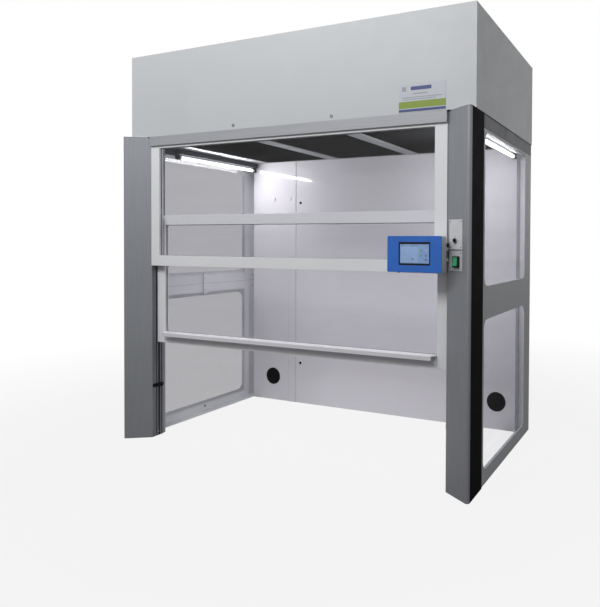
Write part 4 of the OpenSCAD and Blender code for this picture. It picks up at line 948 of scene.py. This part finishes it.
softenNodes([
    ("key_plate", 0.0007, plateCoat, windowEdgeShading),
    ("switch_plate", 0.0007, switchPlatePaintedLight, steelScrew),
    ("key_collar", 0.0005, turnedSteel),
    ("key_rotor", 0.0005, blackAbs),
    ("rocker_bezel", 0.001, blackAbs),
    ("rocker", 0.0008, rockerLit)])
plates = {"start": 0.014, "width": 0.073, "thickness": 0.002, "screwInset": 0.007, "screwRadius": 0.0024}
for node in ("key_plate", "switch_plate"):
    low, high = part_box(node)
    inset = plates["screwInset"]
    screwsAt(node + "_screws", [onFace(along, plates["thickness"] - sunk, z)
        for along in (plates["start"] + inset, plates["start"] + plates["width"] - inset)
        for z in (low.z + inset, high.z - inset)], faceOut, plates["screwRadius"])
keyLow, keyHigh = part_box("key_collar")
keyMark = {"reach": 0.0145, "radius": 0.0014, "topRadius": 0.0012, "height": 0.0003, "sunk": 0.0001}
for number, (along, rise) in enumerate(((0, keyMark["reach"]), (keyMark["reach"], 0))):
    spot = onFace(plates["start"] + plates["width"] / 2 + along, plates["thickness"] - keyMark["sunk"],
        (keyLow.z + keyHigh.z) / 2 + rise)
    newPiece(f"keyMark_{number}", latheMesh("keyMark", [(0, keyMark["height"]),
        (keyMark["topRadius"], keyMark["height"]),
        (keyMark["radius"], 0), (0, 0)], spot, faceOut, 16),
        "key_rotor", [blackAbs], body="hood")
print("switches done")

# Label card: plain fields of colour
dress("label_card", cardWhite)
cardFields = [(0.26, 0.76, 0.7, 0.89, cardBlue), (0.07, 0.74, 0.16, 0.9, cardGrey),
    (0.3, 0.62, 0.62, 0.66, cardGrey),
    (0.08, 0.5, 0.92, 0.53, cardGrey), (0.08, 0.43, 0.8, 0.46, cardGrey), (0.0, 0.14, 1.0, 0.38, cardLime),
    (0.0, 0.02, 1.0, 0.11, cardBlue)]
addFields("cardField", "label_card", [share + (field["cardCorner"],) for share in cardFields])
bpy.data.objects.remove(screwPattern)
print("card done")


# Stage: a plain pale floor that turns white away from the hood, and a white background.
# Through the panes the camera sees a plain grey background. Under the hood the floor reflects as pale as
# it looks.
stage = {"whitening": 0.88, "fadeStart": 1.2, "fadeEnd": 3.2, "worldGrey": 0.8, "worldStrength": 0.41,
    "behindGrey": "#b4b3b5", "behindEdge": -0.9, "floorGrey": 0.16, "floorMirrored": 0.1,
    "footprintGrey": 0.85, "floorReach": 30, "floorGap": 0.0003}


def seenDirectly(tree, mirrored):
    # 1 for rays from the camera or through glass, the given share for mirrored ones.
    rays = addNode(tree, "ShaderNodeLightPath")
    gloss = addNode(tree, "ShaderNodeMath", {"operation": "MULTIPLY", 1: mirrored},
        {0: rays.outputs["Is Glossy Ray"]})
    first = addNode(tree, "ShaderNodeMath", {"operation": "MAXIMUM"},
        {0: rays.outputs["Is Camera Ray"], 1: gloss})
    seen = addNode(tree, "ShaderNodeMath", {"operation": "MAXIMUM"},
        {0: first, 1: rays.outputs["Is Transmission Ray"]})
    passed = addNode(tree, "ShaderNodeMath", {"operation": "GREATER_THAN", 1: 0.5},
        {0: rays.outputs["Transparent Depth"]})
    return seen, passed


def floorMaterial():
    material, tree, place = startMaterial("pale floor")
    seen, passed = seenDirectly(tree, stage["floorMirrored"])
    spot = addNode(tree, "ShaderNodeSeparateXYZ", {}, {0: place})
    beyond = addNode(tree, "ShaderNodeMath", {"operation": "LESS_THAN", 1: stage["behindEdge"]}, {0: spot})
    beside = addNode(tree, "ShaderNodeMath", {"operation": "ABSOLUTE"}, {0: spot})
    across = addNode(tree, "ShaderNodeMath", {"operation": "LESS_THAN", 1: innerX}, {0: beside})
    along = addNode(tree, "ShaderNodeMath", {"operation": "COMPARE", 1: (sashLow.y + headBackY) / 2,
        2: (headBackY - sashLow.y) / 2}, {0: spot.outputs[1]})
    under = addNode(tree, "ShaderNodeMath", {"operation": "MULTIPLY"}, {0: across, 1: along})
    unseen = addNode(tree, "ShaderNodeMath", {"operation": "SUBTRACT", 0: 1.0}, {1: seen})
    footprint = addNode(tree, "ShaderNodeMath", {"operation": "MULTIPLY"}, {0: under, 1: unseen})
    grey = addNode(tree, "ShaderNodeMapRange", {"To Min": stage["floorGrey"],
        "To Max": stage["footprintGrey"]},
        {"Value": footprint})
    through = addNode(tree, "ShaderNodeMath", {"operation": "MULTIPLY"}, {0: beyond, 1: passed})
    colour = addNode(tree, "ShaderNodeMix", {"data_type": "RGBA", mixA: (1, 1, 1, 1),
        mixB: linearColour(stage["behindGrey"])},
        {0: through})
    white = addNode(tree, "ShaderNodeEmission", {"Strength": 1.0}, {"Color": colour.outputs[mixColour]})
    matt = addNode(tree, "ShaderNodeBsdfDiffuse", {}, {"Color": grey})
    reach = addNode(tree, "ShaderNodeVectorMath", {"operation": "LENGTH"}, {0: place})
    far = addNode(tree, "ShaderNodeMapRange", {"From Min": stage["fadeStart"], "From Max": stage["fadeEnd"],
        "To Min": stage["whitening"], "To Max": 1.0}, {"Value": reach.outputs["Value"]})
    fully = addNode(tree, "ShaderNodeMath", {"operation": "MAXIMUM"}, {0: far, 1: through})
    part = addNode(tree, "ShaderNodeMath", {"operation": "MULTIPLY"}, {0: seen, 1: fully})
    blend = addNode(tree, "ShaderNodeMixShader", {}, {0: part, 1: matt, 2: white})
    return finishMaterial(material, blend)


floorShell = bmesh.new()
for x, y in ((-1, -1), (1, -1), (1, 1), (-1, 1)):
    floorShell.verts.new((x * stage["floorReach"], y * stage["floorReach"], -stage["floorGap"]))
floorShell.faces.new(floorShell.verts)
floorMesh = bpy.data.meshes.new("floor")
floorShell.to_mesh(floorMesh)
floorShell.free()
floor = addObject("floor", floorMesh)
floor.data.materials.append(floorMaterial())

world = bpy.data.worlds.new("studio")
bpy.context.scene.world = world
world.use_nodes = True
tree = world.node_tree
tree.nodes.clear()
seen, passed = seenDirectly(tree, 1.0)
soft = addNode(tree, "ShaderNodeBackground", {"Color": [stage["worldGrey"]] * 3 + [1],
    "Strength": stage["worldStrength"]})
behind = addNode(tree, "ShaderNodeMix", {"data_type": "RGBA", mixA: (1, 1, 1, 1),
    mixB: linearColour(stage["behindGrey"])},
    {0: passed})
bright = addNode(tree, "ShaderNodeBackground", {"Strength": 1.0}, {"Color": behind.outputs[mixColour]})
blend = addNode(tree, "ShaderNodeMixShader", {}, {0: seen, 1: soft, 2: bright})
addNode(tree, "ShaderNodeOutputWorld", {}, {0: blend})

# Each light: place, target, width, height and watts. The last two add to what the hood's own tubes give.
lights = {"softbox": ((-0.3, -2.7, 3.0), (0, 0, 0.9), 3.2, 1.0, 73),
    "tubeLeft": ((-0.725, 0.0, 1.235), (0.0, 0.1, 0.8), 0.45, 0.03, 3.6),
    "tubeRight": ((0.725, -0.12, 1.235), (0.0, 0.1, 0.8), 0.3, 0.03, 3.6)}
for name, (spot, target, width, height, power) in lights.items():
    lamp = bpy.data.lights.new(name, "AREA")
    lamp.shape = "RECTANGLE"
    lamp.size, lamp.size_y = width, height
    lamp.energy = power
    carrier = addObject(name, lamp)
    carrier.location = spot
    carrier.rotation_euler = (Vector(target) - Vector(spot)).to_track_quat("-Z", "Y").to_euler()
    carrier.visible_glossy = name == "softbox"

# Camera: fitted to the photograph's edges
view = {"place": (1.4208, -2.2111, 0.8592), "yaw": 23.095, "pitch": 0.974, "roll": 0.364, "focal": 578.578,
    "centre": (430.159, 253.751), "frame": (600, 607)}
yaw, pitch, roll = (math.radians(view[name]) for name in ("yaw", "pitch", "roll"))
level = Vector((math.cos(yaw), math.sin(yaw), 0))
ahead = Vector((-math.sin(yaw), math.cos(yaw), 0)) * math.cos(pitch) - Vector((0, 0, math.sin(pitch)))
upward = level.cross(ahead)
right = level * math.cos(roll) + upward * math.sin(roll)
above = upward * math.cos(roll) - level * math.sin(roll)
camera = bpy.data.cameras.new("camera")
camera.sensor_width = 36
camera.lens = 36 * view["focal"] / view["frame"][1]
camera.shift_x = (view["frame"][0] / 2 - view["centre"][0]) / view["frame"][1]
camera.shift_y = (view["centre"][1] - view["frame"][1] / 2) / view["frame"][1]
eye = addObject("camera", camera)
eye.matrix_world = Matrix.Translation(view["place"]) @ Matrix((right, above, -ahead)).transposed().to_4x4()
bpy.context.scene.camera = eye
bpy.context.scene.view_settings.view_transform = "Standard"
print("stage done")
